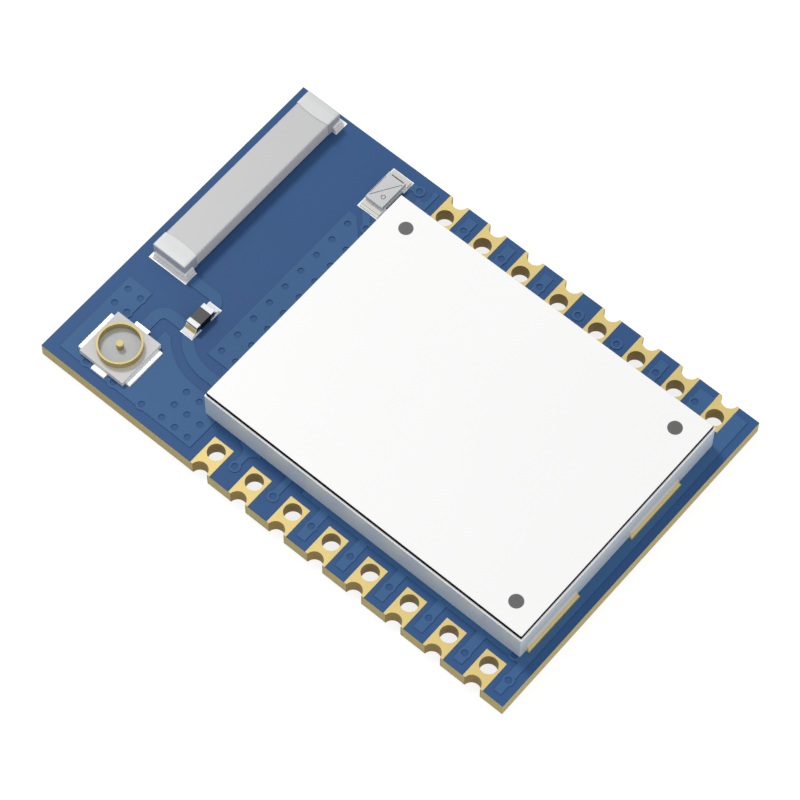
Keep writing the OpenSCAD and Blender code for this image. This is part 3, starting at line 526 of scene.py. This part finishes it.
def finish_solder(name, colour, metallic):
    """Reflowed tin-silver solder, smooth, with faint grains. Where soldering residue left it dull its metal
    shows less."""
    material, tree, shader, where = new_finish(name, {
        "Metallic": metallic, "Roughness": 0.4, "Specular IOR Level": 0.3})
    mottle(tree, shader, where, colour, depth=0.02, size_mm=0.2, bump_mm=0.001, grain_mm=0.05)
    return material


def finish_link_solder(colours):
    """Reflowed solder on the link resistor's lands: white where it lies flat, mirror-like where it is steep,
    with a yellow strip, 0.5 x 0.1 mm, along the steep part of the end that faces -Y, which is painted shade
    and painted reflection."""
    low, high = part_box("link_caps")
    half_length, half_width, out = 0.25 * MM, 0.05 * MM, 0.09 * MM
    material, tree, shader, where = new_finish("solder_with_painted_shade", {"Specular IOR Level": 0.2})
    # Each share is 1 within half the strip's size of its middle, and 0 beyond
    place = add(tree, "SeparateXYZ", {"Vector": where})
    across = add(tree, "Math", {0: place.outputs["X"], 1: (low.x + high.x) / 2, 2: half_length},
                 operation="COMPARE").outputs[0]
    along = add(tree, "Math", {0: place.outputs["Y"], 1: low.y - out, 2: half_width},
                operation="COMPARE").outputs[0]
    strip = add(tree, "Math", {0: across, 1: along}, operation="MULTIPLY").outputs[0]
    # The strip's yellow stands in for the shade and reflection on that steep face: painted shade and painted
    # reflection
    mix = add(tree, "Mix", {"Factor": strip, FIRST: colours.tin, SECOND: colours.painted_fillet_shade}, data_type="RGBA")
    tree.links.new(mix.outputs[MIXED], shader.inputs["Base Color"])
    dull = add(tree, "Math", {0: facing(tree, 0.66, 0.74), 1: strip}, operation="MAXIMUM").outputs[0]
    vary(tree, shader, dull, Metallic=(0.95, 0.2), Roughness=(0.12, 0.4))
    return material


def finish_can_solder(colours):
    """Thin solder that has wetted gold: it takes the gold's warm tone at the foot and greys towards its top
    edge."""
    low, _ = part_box("shield_solder")
    warm_below, grey_above = low.z + 0.09 * MM, low.z + 0.28 * MM
    material, tree, shader, where = new_finish("solder_on_gold", {"Metallic": 0.35, "Roughness": 0.45})
    height = add(tree, "SeparateXYZ", {"Vector": where}).outputs["Z"]
    climb = add(tree, "MapRange", {"Value": height, "From Min": warm_below, "From Max": grey_above})
    mix = add(tree, "Mix", {"Factor": climb.outputs[0], FIRST: scaled(colours.gold, 1.15),
                            SECOND: colours.can_solder}, data_type="RGBA")
    tree.links.new(mix.outputs[MIXED], shader.inputs["Base Color"])
    return material


# ---------------------------------------------------------------- shield can and label


def finish_can(colours):
    """Tin-plated nickel silver, cold-rolled: white on top, and pure white on the folds as a painted
    highlight. The walls get a cool grey satin that is painted shade and painted reflection of the blue
    board, with rolling lines 0.05 mm apart along its length."""
    material, tree, shader, where = new_finish("tinned_sheet_metal", {"Metallic": 0.35, "Roughness": 0.45})
    drawn = add(tree, "Mapping", {"Vector": where, "Scale": (0.04, 1.0, 1.0)}).outputs["Vector"]
    lines = add(tree, "TexNoise", {"Vector": drawn, "Scale": per_mm(0.05), "Detail": 3.0}).outputs["Fac"]
    wall = add(tree, "Mix", {"Factor": lines, FIRST: scaled(colours.can_wall, 0.95),
                             SECOND: scaled(colours.can_wall, 1.05)}, data_type="RGBA").outputs[MIXED]
    # Flat faces and the folds get pure white, a painted highlight on the folds; the walls get the cool grey:
    # painted shade and painted reflection
    other_walls(tree, shader, colours.can, wall, start=0.05, end=0.45)
    relief = add(tree, "Bump", {"Height": lines, "Distance": 0.0008 * MM})
    tree.links.new(relief.outputs["Normal"], shader.inputs["Normal"])
    return material


def finish_label(colours, dot_radius):
    """White polyester film, thermal-transfer printed: matt, with a grey ink dot inside three of its
    corners."""
    low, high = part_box("label_face")
    material, tree, shader, where = new_finish("printed_polyester_label", {"Roughness": 0.45, "IOR": 1.5})
    paper = add(tree, "TexNoise", {"Vector": where, "Scale": per_mm(5.0), "Detail": 2.0}).outputs["Fac"]
    white = add(tree, "Mix", {"Factor": paper, FIRST: scaled(colours.label, 0.985), SECOND: colours.label},
                data_type="RGBA").outputs[MIXED]
    plan = add(tree, "VectorMath", {0: where, 1: (1, 1, 0)}, operation="MULTIPLY").outputs[0]
    # The dots lie about 1.1 mm inside the label's edges, and were printed a little out of square
    nearest = 1.0
    for x, y in ((low.x + 1.16 * MM, high.y - 1.08 * MM), (high.x - 1.1 * MM, high.y - 1.06 * MM),
                 (high.x - 1.1 * MM, low.y + 1.03 * MM)):
        gap = add(tree, "VectorMath", {0: plan, 1: (x, y, 0)}, operation="DISTANCE").outputs["Value"]
        nearest = add(tree, "Math", {0: gap, 1: nearest}, operation="MINIMUM").outputs[0]
    soft_edge = 0.01 * MM
    bare = add(tree, "MapRange", {"Value": nearest, "From Min": dot_radius - soft_edge,
                                  "From Max": dot_radius + soft_edge})
    mix = add(tree, "Mix", {"Factor": bare.outputs[0], FIRST: colours.print_grey, SECOND: white},
              data_type="RGBA")
    tree.links.new(mix.outputs[MIXED], shader.inputs["Base Color"])
    return material


def finish_tape(colours):
    """Black adhesive layer under the label, cut clean: nearly black and quite matt. Its black, where it
    shows past the film's edge, is a painted shadow at the label's edge.
    """
    material, tree, shader, where = new_finish("black_acrylic_tape", {
        "Roughness": 0.8, "Specular IOR Level": 0.05})
    mottle(tree, shader, where, colours.tape_shadow, depth=0.15, size_mm=0.2, bump_mm=0.003, grain_mm=0.05)
    return material


class MODULE_OT_shield(bpy.types.Operator):
    """Finishes the shield can and draws the solder up its end walls"""

    bl_idname = "module.shield"
    bl_label = "Shield can"

    def execute(self, context):
        colours = context.scene.module_finishes
        sizes = context.scene.module_sizes
        paint(finish_can(colours), "shield_can")
        lands = points_of("shield_lands")
        low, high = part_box("shield_can")
        base = low.z
        border = sizes.land_border
        skins = []
        for side, wall in ((-1, low.x), (1, high.x)):
            for half in (-1, 1):
                land = lands[(lands[:, 0] * side > 0) & (lands[:, 1] * half > 0)]
                y0, y1 = land[:, 1].min() + border, land[:, 1].max() - border
                reach = (land[:, 0] * side).max() - wall * side - border
                skins.append(solder_sheet((wall - reach, y0), (wall + reach, y1), base - sizes.solder_film,
                                          base, radius=0.03 * MM))
                skins.append(straight_skirt((wall, y0), (wall, y1), (side, 0), base, reach,
                                            sizes.shield_rise, end_share=0.9))
        piece("shield_solder_joints", skins, finish_can_solder(colours), "gold_plate", "shield_solder")
        return {"FINISHED"}


class MODULE_OT_label(bpy.types.Operator):
    """Makes the label's white film, cut a little short of the black layer under it, which shows round it as
    a painted shadow
    """

    bl_idname = "module.label"
    bl_label = "Label"

    def execute(self, context):
        colours = context.scene.module_finishes
        sizes = context.scene.module_sizes
        low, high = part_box("label_face")
        middle = np.array([(low.x + high.x) / 2, (low.y + high.y) / 2])
        # The film is cut short so that the black layer shows round it as a painted shadow
        short = 2 * sizes.tape_edge
        outline = rounded_loop(high.x - low.x - short, high.y - low.y - short, 0.03 * MM) + middle
        film = skin([at_level(outline, low.z), at_level(outline, high.z)])
        finish = finish_label(colours, sizes.dot_diameter / 2)
        piece("label_film", [film], finish, "label_white", "label_face")
        paint(finish_tape(colours), "label_adhesive")
        return {"FINISHED"}


# ---------------------------------------------------------------- antenna


def finish_ceramic(colours):
    """Glazed dielectric ceramic, pressed and fired: pale grey with a soft gloss and a faint unevenness. The
    sawn sides are painted paler: painted light on the sides."""
    material, tree, shader, where = new_finish("glazed_ceramic", {
        "Roughness": 0.4, "IOR": 1.6, "Coat Weight": 0.1, "Coat Roughness": 0.3})
    mix = mottle(tree, shader, where, colours.ceramic, depth=0.012, size_mm=1.2, bump_mm=0.0015,
                 grain_mm=0.2)
    # Sideways faces get the paler colour: painted light
    other_walls(tree, shader, mix, colours.ceramic_wall, start=0.2, end=0.8)
    return material


def end_cap(node, outer_end):
    """Metal cap dipped on one end of the antenna: a rounded rectangle carried along Y. Its outer end closes
    on a quarter circle. Past the straight line between its side edges the rim runs on by bow (1 - (2x / w)
    squared) and ends square, and the inside follows the ceramic back."""
    low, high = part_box(node)
    body_low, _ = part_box("antenna_body")
    middle_x, middle_z = (low.x + high.x) / 2, (low.z + high.z) / 2
    width, height = high.x - low.x, high.z - low.z
    metal = body_low.z - low.z
    bow = 0.08 * MM
    depth = high.y - low.y - bow
    corner, least_corner = 0.05 * MM, 0.015 * MM
    # How far each loop is drawn in, how far it lies from the outer end, and how far its middle runs on
    turn = np.linspace(0, QUARTER, 7)[1:]
    loops = [(corner * (1 - math.sin(a)), corner * (1 - math.cos(a)), 0) for a in turn]
    loops += [(0, depth / 2, 0), (0, depth, 0), (0, depth, bow)]
    loops += [(metal, depth, bow), (metal, depth / 2, 0), (metal, metal, 0)]
    rings = []
    for inset, along, run_on in loops:
        radius = max(corner - inset, least_corner)
        section = rounded_loop(width - 2 * inset, height - 2 * inset, radius, between=15)
        from_end = along + run_on * np.clip(1 - (2 * section[:, 0] / width) ** 2, 0, 1)
        y = low.y + from_end if outer_end < 0 else high.y - from_end
        rings.append(np.column_stack([section[:, 0] + middle_x, y, section[:, 1] + middle_z]))
    return skin(rings)


def cap_skirt(node, outer_end, sizes):
    """Solder round one antenna cap: two sloping steps along the outer end and round the corner to the side
    that faces the can, on a path whose corner is a quarter circle, with the film of solder on the land
    below."""
    low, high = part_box(node)
    points = points_of("antenna_solder")
    mine = points[points[:, 1] * outer_end > np.median(points[:, 1]) * outer_end]
    (x0, y0, bottom), (x1, y1, _) = mine.min(0), mine.max(0)
    end, inner = (low.y, y1) if outer_end < 0 else (high.y, y0)
    start_x = low.x + 0.1 * MM
    radius = 0.05 * MM
    turn = np.linspace(0, QUARTER, 9)
    corner = np.column_stack([high.x - radius + radius * np.sin(turn),
                              end - outer_end * radius * (1 - np.cos(turn))])
    path = np.vstack([[(start_x, end)], corner, [(high.x, inner)]])
    round_corner = np.column_stack([np.sin(turn), outer_end * np.cos(turn)])
    outward = np.vstack([[(0, outer_end)], round_corner, [(1, 0)]])
    rise = sizes.antenna_rise / MM
    profile = [(0, rise), (0.08, rise * 0.7), (0.083, rise * 0.52), (0.145, rise * 0.25),
               (0.148, rise * 0.06)]
    bare = sizes.land_border
    film = solder_sheet((x0 + bare, y0 + bare), (x1 - bare, y1 - bare), bottom, low.z, radius=0.01 * MM)
    return [film, solder_steps(path, outward, low.z, profile)]


class MODULE_OT_antenna(bpy.types.Operator):
    """Makes the antenna's end caps and solder joints, and finishes its ceramic"""

    bl_idname = "module.antenna"
    bl_label = "Chip antenna"

    def execute(self, context):
        colours = context.scene.module_finishes
        sizes = context.scene.module_sizes
        paint(finish_ceramic(colours), "antenna_body")
        paint(dipped_tin(colours), "antenna_lands")
        cap = finish_cap(colours)
        piece("antenna_feed_metal", [end_cap("antenna_feed_cap", -1)], cap, "tin", "antenna_feed_cap")
        piece("antenna_end_metal", [end_cap("antenna_end_cap", 1)], cap, "tin", "antenna_end_cap")
        skins = cap_skirt("antenna_feed_cap", -1, sizes) + cap_skirt("antenna_end_cap", 1, sizes)
        solder = finish_solder("reflowed_solder", colours.antenna_solder, metallic=0.2)
        piece("antenna_solder_joints", skins, solder, "tin", "antenna_solder", sharp=20)
        return {"FINISHED"}


# ---------------------------------------------------------------- coaxial jack


def off_axis(tree, where, node):
    """Distance in plan from the upright line through the middle of a CAD node."""
    low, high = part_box(node)
    plan = add(tree, "VectorMath", {0: where, 1: (1, 1, 0)}, operation="MULTIPLY").outputs[0]
    centre = ((low.x + high.x) / 2, (low.y + high.y) / 2, 0)
    return add(tree, "VectorMath", {0: plan, 1: centre}, operation="DISTANCE").outputs["Value"]


def finish_housing(colours):
    """Injection-moulded liquid-crystal polymer: matt, off-white, with a fine flow texture. The floor inside
    the shell is painted a little greyer: painted shade in the recess."""
    material, tree, shader, where = new_finish("moulded_polymer", {
        "Roughness": 0.55, "Specular IOR Level": 0.3})
    mix = mottle(tree, shader, where, colours.housing, depth=0.02, size_mm=0.5, bump_mm=0.002, grain_mm=0.08)
    # Inside the shell's radius the floor gets the greyer colour: painted shade in the recess
    shell_inside, soft_edge = 0.87 * MM, 0.01 * MM
    beyond = add(tree, "MapRange", {"Value": off_axis(tree, where, "jack_housing"),
                                    "From Min": shell_inside - soft_edge,
                                    "From Max": shell_inside + soft_edge})
    both = add(tree, "Mix", {"Factor": beyond.outputs[0], FIRST: colours.housing_floor, SECOND: mix},
               data_type="RGBA")
    tree.links.new(both.outputs[MIXED], shader.inputs["Base Color"])
    return material


def finish_contacts(colours):
    """Stamped phosphor bronze, gold over nickel on the round contact, and dipped in tin on the feet outside
    it."""
    dark_gold, pale_gold = linear("AA9958"), linear("B5A66D")
    material, tree, shader, where = new_finish("gold_plated_bronze", {"Metallic": 0.45, "Roughness": 0.42})
    grain = add(tree, "TexNoise", {"Vector": where, "Scale": per_mm(0.15), "Detail": 2.0}).outputs["Fac"]
    gold = add(tree, "Mix", {"Factor": grain, FIRST: dark_gold, SECOND: pale_gold}, data_type="RGBA")
    gold_within, tin_beyond = 1.0 * MM, 1.05 * MM
    foot = add(tree, "MapRange", {"Value": off_axis(tree, where, "jack_housing"), "From Min": gold_within,
                                  "From Max": tin_beyond})
    both = add(tree, "Mix", {"Factor": foot.outputs[0], FIRST: gold.outputs[MIXED], SECOND: colours.tin},
               data_type="RGBA")
    tree.links.new(both.outputs[MIXED], shader.inputs["Base Color"])
    return material


class MODULE_OT_jack(bpy.types.Operator):
    """Finishes the coaxial jack's housing, shell, pin and lands"""

    bl_idname = "module.jack"
    bl_label = "Coaxial jack"

    def execute(self, context):
        colours = context.scene.module_finishes
        paint(finish_housing(colours), "jack_housing")
        paint(finish_contacts(colours), "jack_shell", "jack_pin")
        paint(dipped_tin(colours), "jack_lands")
        return {"FINISHED"}


# ---------------------------------------------------------------- link resistor and lamp


def finish_resistor(colours):
    """Screen-printed overglaze on a thick-film resistor: dark grey and half matt on top. The sides are
    painted nearly black: painted shade."""
    material, tree, shader, where = new_finish("resistor_overglaze", {
        "Roughness": 0.5, "Specular IOR Level": 0.3})
    mix = mottle(tree, shader, where, colours.resistor, depth=0.08, size_mm=0.2, bump_mm=0.002,
                 grain_mm=0.05)
    # Sideways faces get the nearly black colour: painted shade
    other_walls(tree, shader, mix, colours.resistor_wall, start=0.2, end=0.8)
    return material


def finish_lamp(colours):
    """Cast epoxy over a white reflector: pale grey, half clear, with a soft gloss. The floors of the marks
    sunk in its top are painted dark: painted shade in the recesses."""
    _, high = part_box("lamp_lens")
    material, tree, shader, where = new_finish("cast_epoxy_lens", {
        "Roughness": 0.3, "IOR": 1.52, "Subsurface Weight": 0.15, "Subsurface Scale": 0.1 * MM})
    mix = mottle(tree, shader, where, colours.lamp, depth=0.02, size_mm=0.4, bump_mm=0.001, grain_mm=0.1)
    # The floor of a mark lies 0.03 mm below the top and looks up, and gets the painted shade; the lens's
    # sides stay clear
    shade_below, clear_above = high.z - 0.028 * MM, high.z - 0.02 * MM
    height = add(tree, "SeparateXYZ", {"Vector": where}).outputs["Z"]
    above = add(tree, "MapRange", {"Value": height, "From Min": shade_below,
                                   "From Max": clear_above}).outputs[0]
    side = add(tree, "Math", {0: 1.0, 1: facing(tree, 0.5, 0.9)}, operation="SUBTRACT").outputs[0]
    clear = add(tree, "Math", {0: above, 1: side}, operation="MAXIMUM").outputs[0]
    both = add(tree, "Mix", {"Factor": clear, FIRST: colours.lamp_mark_shade, SECOND: mix}, data_type="RGBA")
    tree.links.new(both.outputs[MIXED], shader.inputs["Base Color"])
    return material


def finish_lamp_base(colours):
    """Moulded white polyphthalamide of the lamp's base, matt."""
    material, tree, shader, where = new_finish("moulded_lamp_base", {
        "Roughness": 0.6, "Specular IOR Level": 0.3})
    mottle(tree, shader, where, colours.lamp_base, depth=0.02, size_mm=0.3, bump_mm=0.001, grain_mm=0.08)
    return material


def end_joints(solder_node, part, profile):
    """Solder at both ends of a small part that lies along Y: a film on each land as wide as the part, and a
    stepped joint up each end face on this profile."""
    low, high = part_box(part)
    points = points_of(solder_node)
    middle = (low.y + high.y) / 2
    skins = []
    for side, wall in ((-1, low.y), (1, high.y)):
        mine = points[(points[:, 1] - middle) * side > 0]
        near = side * (mine[:, 1] * side).min()
        far = wall + side * profile[-1][0] * MM
        y0, y1 = sorted((near, far))
        skins.append(solder_sheet((low.x, y0), (high.x, y1), mine[:, 2].min(), low.z, radius=0.01 * MM))
        path = np.array([(low.x, wall), (high.x, wall)])
        skins.append(solder_steps(path, np.array([(0.0, side)] * 2), low.z, profile))
    return skins


class MODULE_OT_link(bpy.types.Operator):
    """Finishes the link resistor and makes its solder joints"""

    bl_idname = "module.link"
    bl_label = "Link resistor"

    def execute(self, context):
        colours = context.scene.module_finishes
        paint(finish_resistor(colours), "link_body")
        # The walls of the resistor's ends get a dark blue-grey: painted reflection of the blue board and
        # painted shade
        paint(finish_tin("plated_end_cap", colours.link_cap, colours.link_cap_wall), "link_caps")
        paint(dipped_tin(colours), "link_lands")
        rise = context.scene.module_sizes.link_rise / MM
        profile = [(0, rise), (0.035, rise), (0.14, rise * 0.42), (0.32, 0.03)]
        skins = end_joints("link_solder", "link_caps", profile)
        piece("link_solder_joints", skins, finish_link_solder(colours), "tin", "link_solder", sharp=12)
        return {"FINISHED"}


class MODULE_OT_lamp(bpy.types.Operator):
    """Finishes the lamp and makes its solder joints"""

    bl_idname = "module.lamp"
    bl_label = "Indicator lamp"

    def execute(self, context):
        colours = context.scene.module_finishes
        paint(finish_lamp(colours), "lamp_lens")
        paint(finish_lamp_base(colours), "lamp_base")
        paint(dipped_tin(colours), "lamp_contacts", "lamp_lands")
        rise = context.scene.module_sizes.lamp_rise / MM
        profile = [(0, rise), (0.2, rise * 0.8), (0.21, rise * 0.45), (0.33, rise * 0.3)]
        skins = end_joints("lamp_solder", "lamp_contacts", profile)
        solder = finish_solder("reflowed_lamp_solder", colours.lamp_solder, metallic=0.05)
        piece("lamp_solder_joints", skins, solder, "tin", "lamp_solder", sharp=12)
        return {"FINISHED"}


# ---------------------------------------------------------------- inside the can


def finish_chip(colours):
    """Transfer-moulded epoxy with silica filler: charcoal, matt, with a fine spark-eroded texture."""
    material, tree, shader, where = new_finish("moulded_chip_epoxy", {"Roughness": 0.6, "IOR": 1.55})
    mottle(tree, shader, where, colours.chip, depth=0.12, size_mm=0.5, bump_mm=0.003, grain_mm=0.06)
    return material


def finish_capacitor(colours):
    """Fired barium titanate: brown, slightly mottled, half matt."""
    material, tree, shader, where = new_finish("fired_capacitor_ceramic", {"Roughness": 0.5, "IOR": 1.6})
    mottle(tree, shader, where, colours.capacitor, depth=0.08, size_mm=0.25, bump_mm=0.002, grain_mm=0.06)
    return material


def finish_coil(colours):
    """Low-temperature co-fired ceramic of a small coil: grey-blue, half matt."""
    material, tree, shader, where = new_finish("cofired_coil_ceramic", {"Roughness": 0.5, "IOR": 1.6})
    mottle(tree, shader, where, colours.coil, depth=0.08, size_mm=0.25, bump_mm=0.002, grain_mm=0.06)
    return material


def finish_crystal_lid(colours):
    """Nickel-plated iron alloy, seam-welded: a warm bright metal with a faint grain."""
    material, tree, shader, where = new_finish("nickel_plated_lid", {"Metallic": 1.0, "Roughness": 0.3})
    mottle(tree, shader, where, colours.crystal_lid, depth=0.04, size_mm=0.2, bump_mm=0.001, grain_mm=0.05)
    return material


def finish_alumina(colours):
    """Fired alumina of the crystal's base: cream, dense and matt."""
    material, tree, shader, where = new_finish("fired_alumina", {"Roughness": 0.5, "IOR": 1.7})
    mottle(tree, shader, where, colours.crystal_base, depth=0.04, size_mm=0.3, bump_mm=0.001, grain_mm=0.05)
    return material


class MODULE_OT_inner_parts(bpy.types.Operator):
    """Finishes the chips, the crystal and the small parts inside the can"""

    bl_idname = "module.inner_parts"
    bl_label = "Parts inside the can"

    def execute(self, context):
        colours = context.scene.module_finishes
        tin = dipped_tin(colours)
        paint(finish_chip(colours), "radio_chip", "memory_chip", "amplifier_chip")
        paint(tin, "radio_chip_leads", "memory_chip_leads", "amplifier_chip_leads", "small_part_caps")
        paint(finish_capacitor(colours), "small_capacitors")
        paint(finish_coil(colours), "small_coils")
        paint(finish_crystal_lid(colours), "crystal_lid")
        paint(finish_alumina(colours), "crystal_base")
        return {"FINISHED"}


# ---------------------------------------------------------------- studio


def paper_floor(scene):
    """Square of white paper under the board: a matt grey that takes the object's shadow, with a glow that
    only the camera, mirrors and clear things see."""
    half = 0.6
    below = 0.002 * MM
    grey, glow = 0.3, 0.82
    mesh = bpy.data.meshes.new("floor")
    mesh.from_pydata([(-half, -half, 0), (half, -half, 0), (half, half, 0), (-half, half, 0)], [],
                     [(0, 1, 2, 3)])
    floor = bpy.data.objects.new("floor", mesh)
    floor.location.z = CAD_BOX[0][2] - below
    scene.collection.objects.link(floor)
    paper = bpy.data.materials.new("seamless_paper")
    paper.use_nodes = True
    tree = paper.node_tree
    tree.nodes.clear()
    matt = add(tree, "BsdfDiffuse", {"Color": (grey, grey, grey)})
    rays = add(tree, "LightPath").outputs
    seen = add(tree, "Math", {0: rays["Is Camera Ray"], 1: rays["Is Glossy Ray"]}, operation="MAXIMUM")
    seen = add(tree, "Math", {0: seen.outputs[0], 1: rays["Is Transmission Ray"]}, operation="MAXIMUM")
    level = add(tree, "Math", {0: seen.outputs[0], 1: glow}, operation="MULTIPLY")
    light = add(tree, "Emission", {"Color": (1, 1, 1), "Strength": level.outputs[0]})
    both = add(tree, "AddShader", {0: matt.outputs[0], 1: light.outputs[0]})
    add(tree, "OutputMaterial", {"Surface": both.outputs[0]})
    mesh.materials.append(paper)


def even_room(scene, strength):
    """Even, slightly cool light from all round, and plain white behind the object for the camera."""
    world = bpy.data.worlds.new("studio")
    scene.world = world
    world.use_nodes = True
    tree = world.node_tree
    tree.nodes.clear()
    rays = add(tree, "LightPath").outputs
    seen = add(tree, "Math", {0: rays["Is Camera Ray"], 1: rays["Is Transmission Ray"]}, operation="MAXIMUM")
    room = add(tree, "Background", {"Color": (0.96, 0.98, 1.0), "Strength": strength})
    white = add(tree, "Background", {"Color": (1, 1, 1), "Strength": 1.0})
    both = add(tree, "MixShader", {0: seen.outputs[0], 1: room.outputs[0], 2: white.outputs[0]})
    add(tree, "OutputWorld", {"Surface": both.outputs[0]})


def soft_lamp(scene, name, place, size, power):
    """A square soft lamp at a place in metres, which faces the middle of the board."""
    data = bpy.data.lights.new(name, "AREA")
    data.shape = "SQUARE"
    data.size = size
    data.energy = power
    lamp = bpy.data.objects.new(name, data)
    lamp.location = place
    lamp.rotation_euler = (-Vector(place)).to_track_quat("-Z", "Y").to_euler()
    scene.collection.objects.link(lamp)


def set_camera(scene, lens):
    """Camera at CAMERA_PLACE. It looks along the direction that yaw and pitch give, and is rolled about
    it."""
    data = bpy.data.cameras.new("camera")
    data.sensor_width = 36
    data.lens = lens
    data.clip_start = 0.01
    camera = bpy.data.objects.new("camera", data)
    yaw, pitch, roll = (math.radians(angle) for angle in CAMERA_TURN)
    ahead = Vector((math.cos(pitch) * math.cos(yaw), math.cos(pitch) * math.sin(yaw), math.sin(pitch)))
    level = ahead.cross(Vector((0, 0, 1))).normalized()
    upright = level.cross(ahead)
    right = level * math.cos(roll) + upright * math.sin(roll)
    up = upright * math.cos(roll) - level * math.sin(roll)
    matrix = Matrix((right, up, -ahead)).transposed().to_4x4()
    matrix.translation = Vector(CAMERA_PLACE) * MM
    camera.matrix_world = matrix
    scene.collection.objects.link(camera)
    scene.camera = camera


class MODULE_OT_stage(bpy.types.Operator):
    """Sets up the floor, the room, the lamps and the camera"""

    bl_idname = "module.stage"
    bl_label = "Stage"

    def execute(self, context):
        scene = context.scene
        studio = scene.module_studio
        paper_floor(scene)
        even_room(scene, studio.room)
        soft_lamp(scene, "key_lamp", place=(-0.115, 0.035, 0.185), size=0.045, power=studio.key)
        soft_lamp(scene, "fill_lamp", place=(0.16, -0.09, 0.05), size=0.10, power=studio.fill)
        set_camera(scene, studio.lens)
        scene.view_settings.view_transform = "Standard"
        return {"FINISHED"}


# ---------------------------------------------------------------- panel and registration


class MODULE_PT_panel(bpy.types.Panel):
    """Lists the module's pieces and settings"""

    bl_idname = "MODULE_PT_panel"
    bl_label = "Wireless circuit module"
    bl_space_type = "VIEW_3D"
    bl_region_type = "UI"
    bl_category = "Module"

    def draw(self, context):
        column = self.layout.column()
        for maker in OPERATORS:
            column.operator(maker.bl_idname)
        for name in GROUPS:
            group = getattr(context.scene, name)
            for key in group.bl_rna.properties.keys():
                if key not in ("rna_type", "name"):
                    column.prop(group, key)


OPERATORS = (
    MODULE_OT_board,
    MODULE_OT_pads,
    MODULE_OT_shield,
    MODULE_OT_label,
    MODULE_OT_antenna,
    MODULE_OT_jack,
    MODULE_OT_link,
    MODULE_OT_lamp,
    MODULE_OT_inner_parts,
    MODULE_OT_stage,
)
GROUPS = {"module_finishes": ModuleFinishes, "module_sizes": ModuleSizes, "module_studio": ModuleStudio}


def register():
    """Registers the settings, the operators and the panel."""
    for name, group in GROUPS.items():
        bpy.utils.register_class(group)
        setattr(bpy.types.Scene, name, bpy.props.PointerProperty(type=group))
    for kind in OPERATORS + (MODULE_PT_panel,):
        bpy.utils.register_class(kind)


def unregister():
    """Takes everything that register added away again."""
    for kind in (MODULE_PT_panel,) + OPERATORS[::-1]:
        bpy.utils.unregister_class(kind)
    for name, group in GROUPS.items():
        delattr(bpy.types.Scene, name)
        bpy.utils.unregister_class(group)


def main():
    register()
    for maker in OPERATORS:
        family, action = maker.bl_idname.split(".")
        getattr(getattr(bpy.ops, family), action)()


if __name__ == "__main__":
    main()
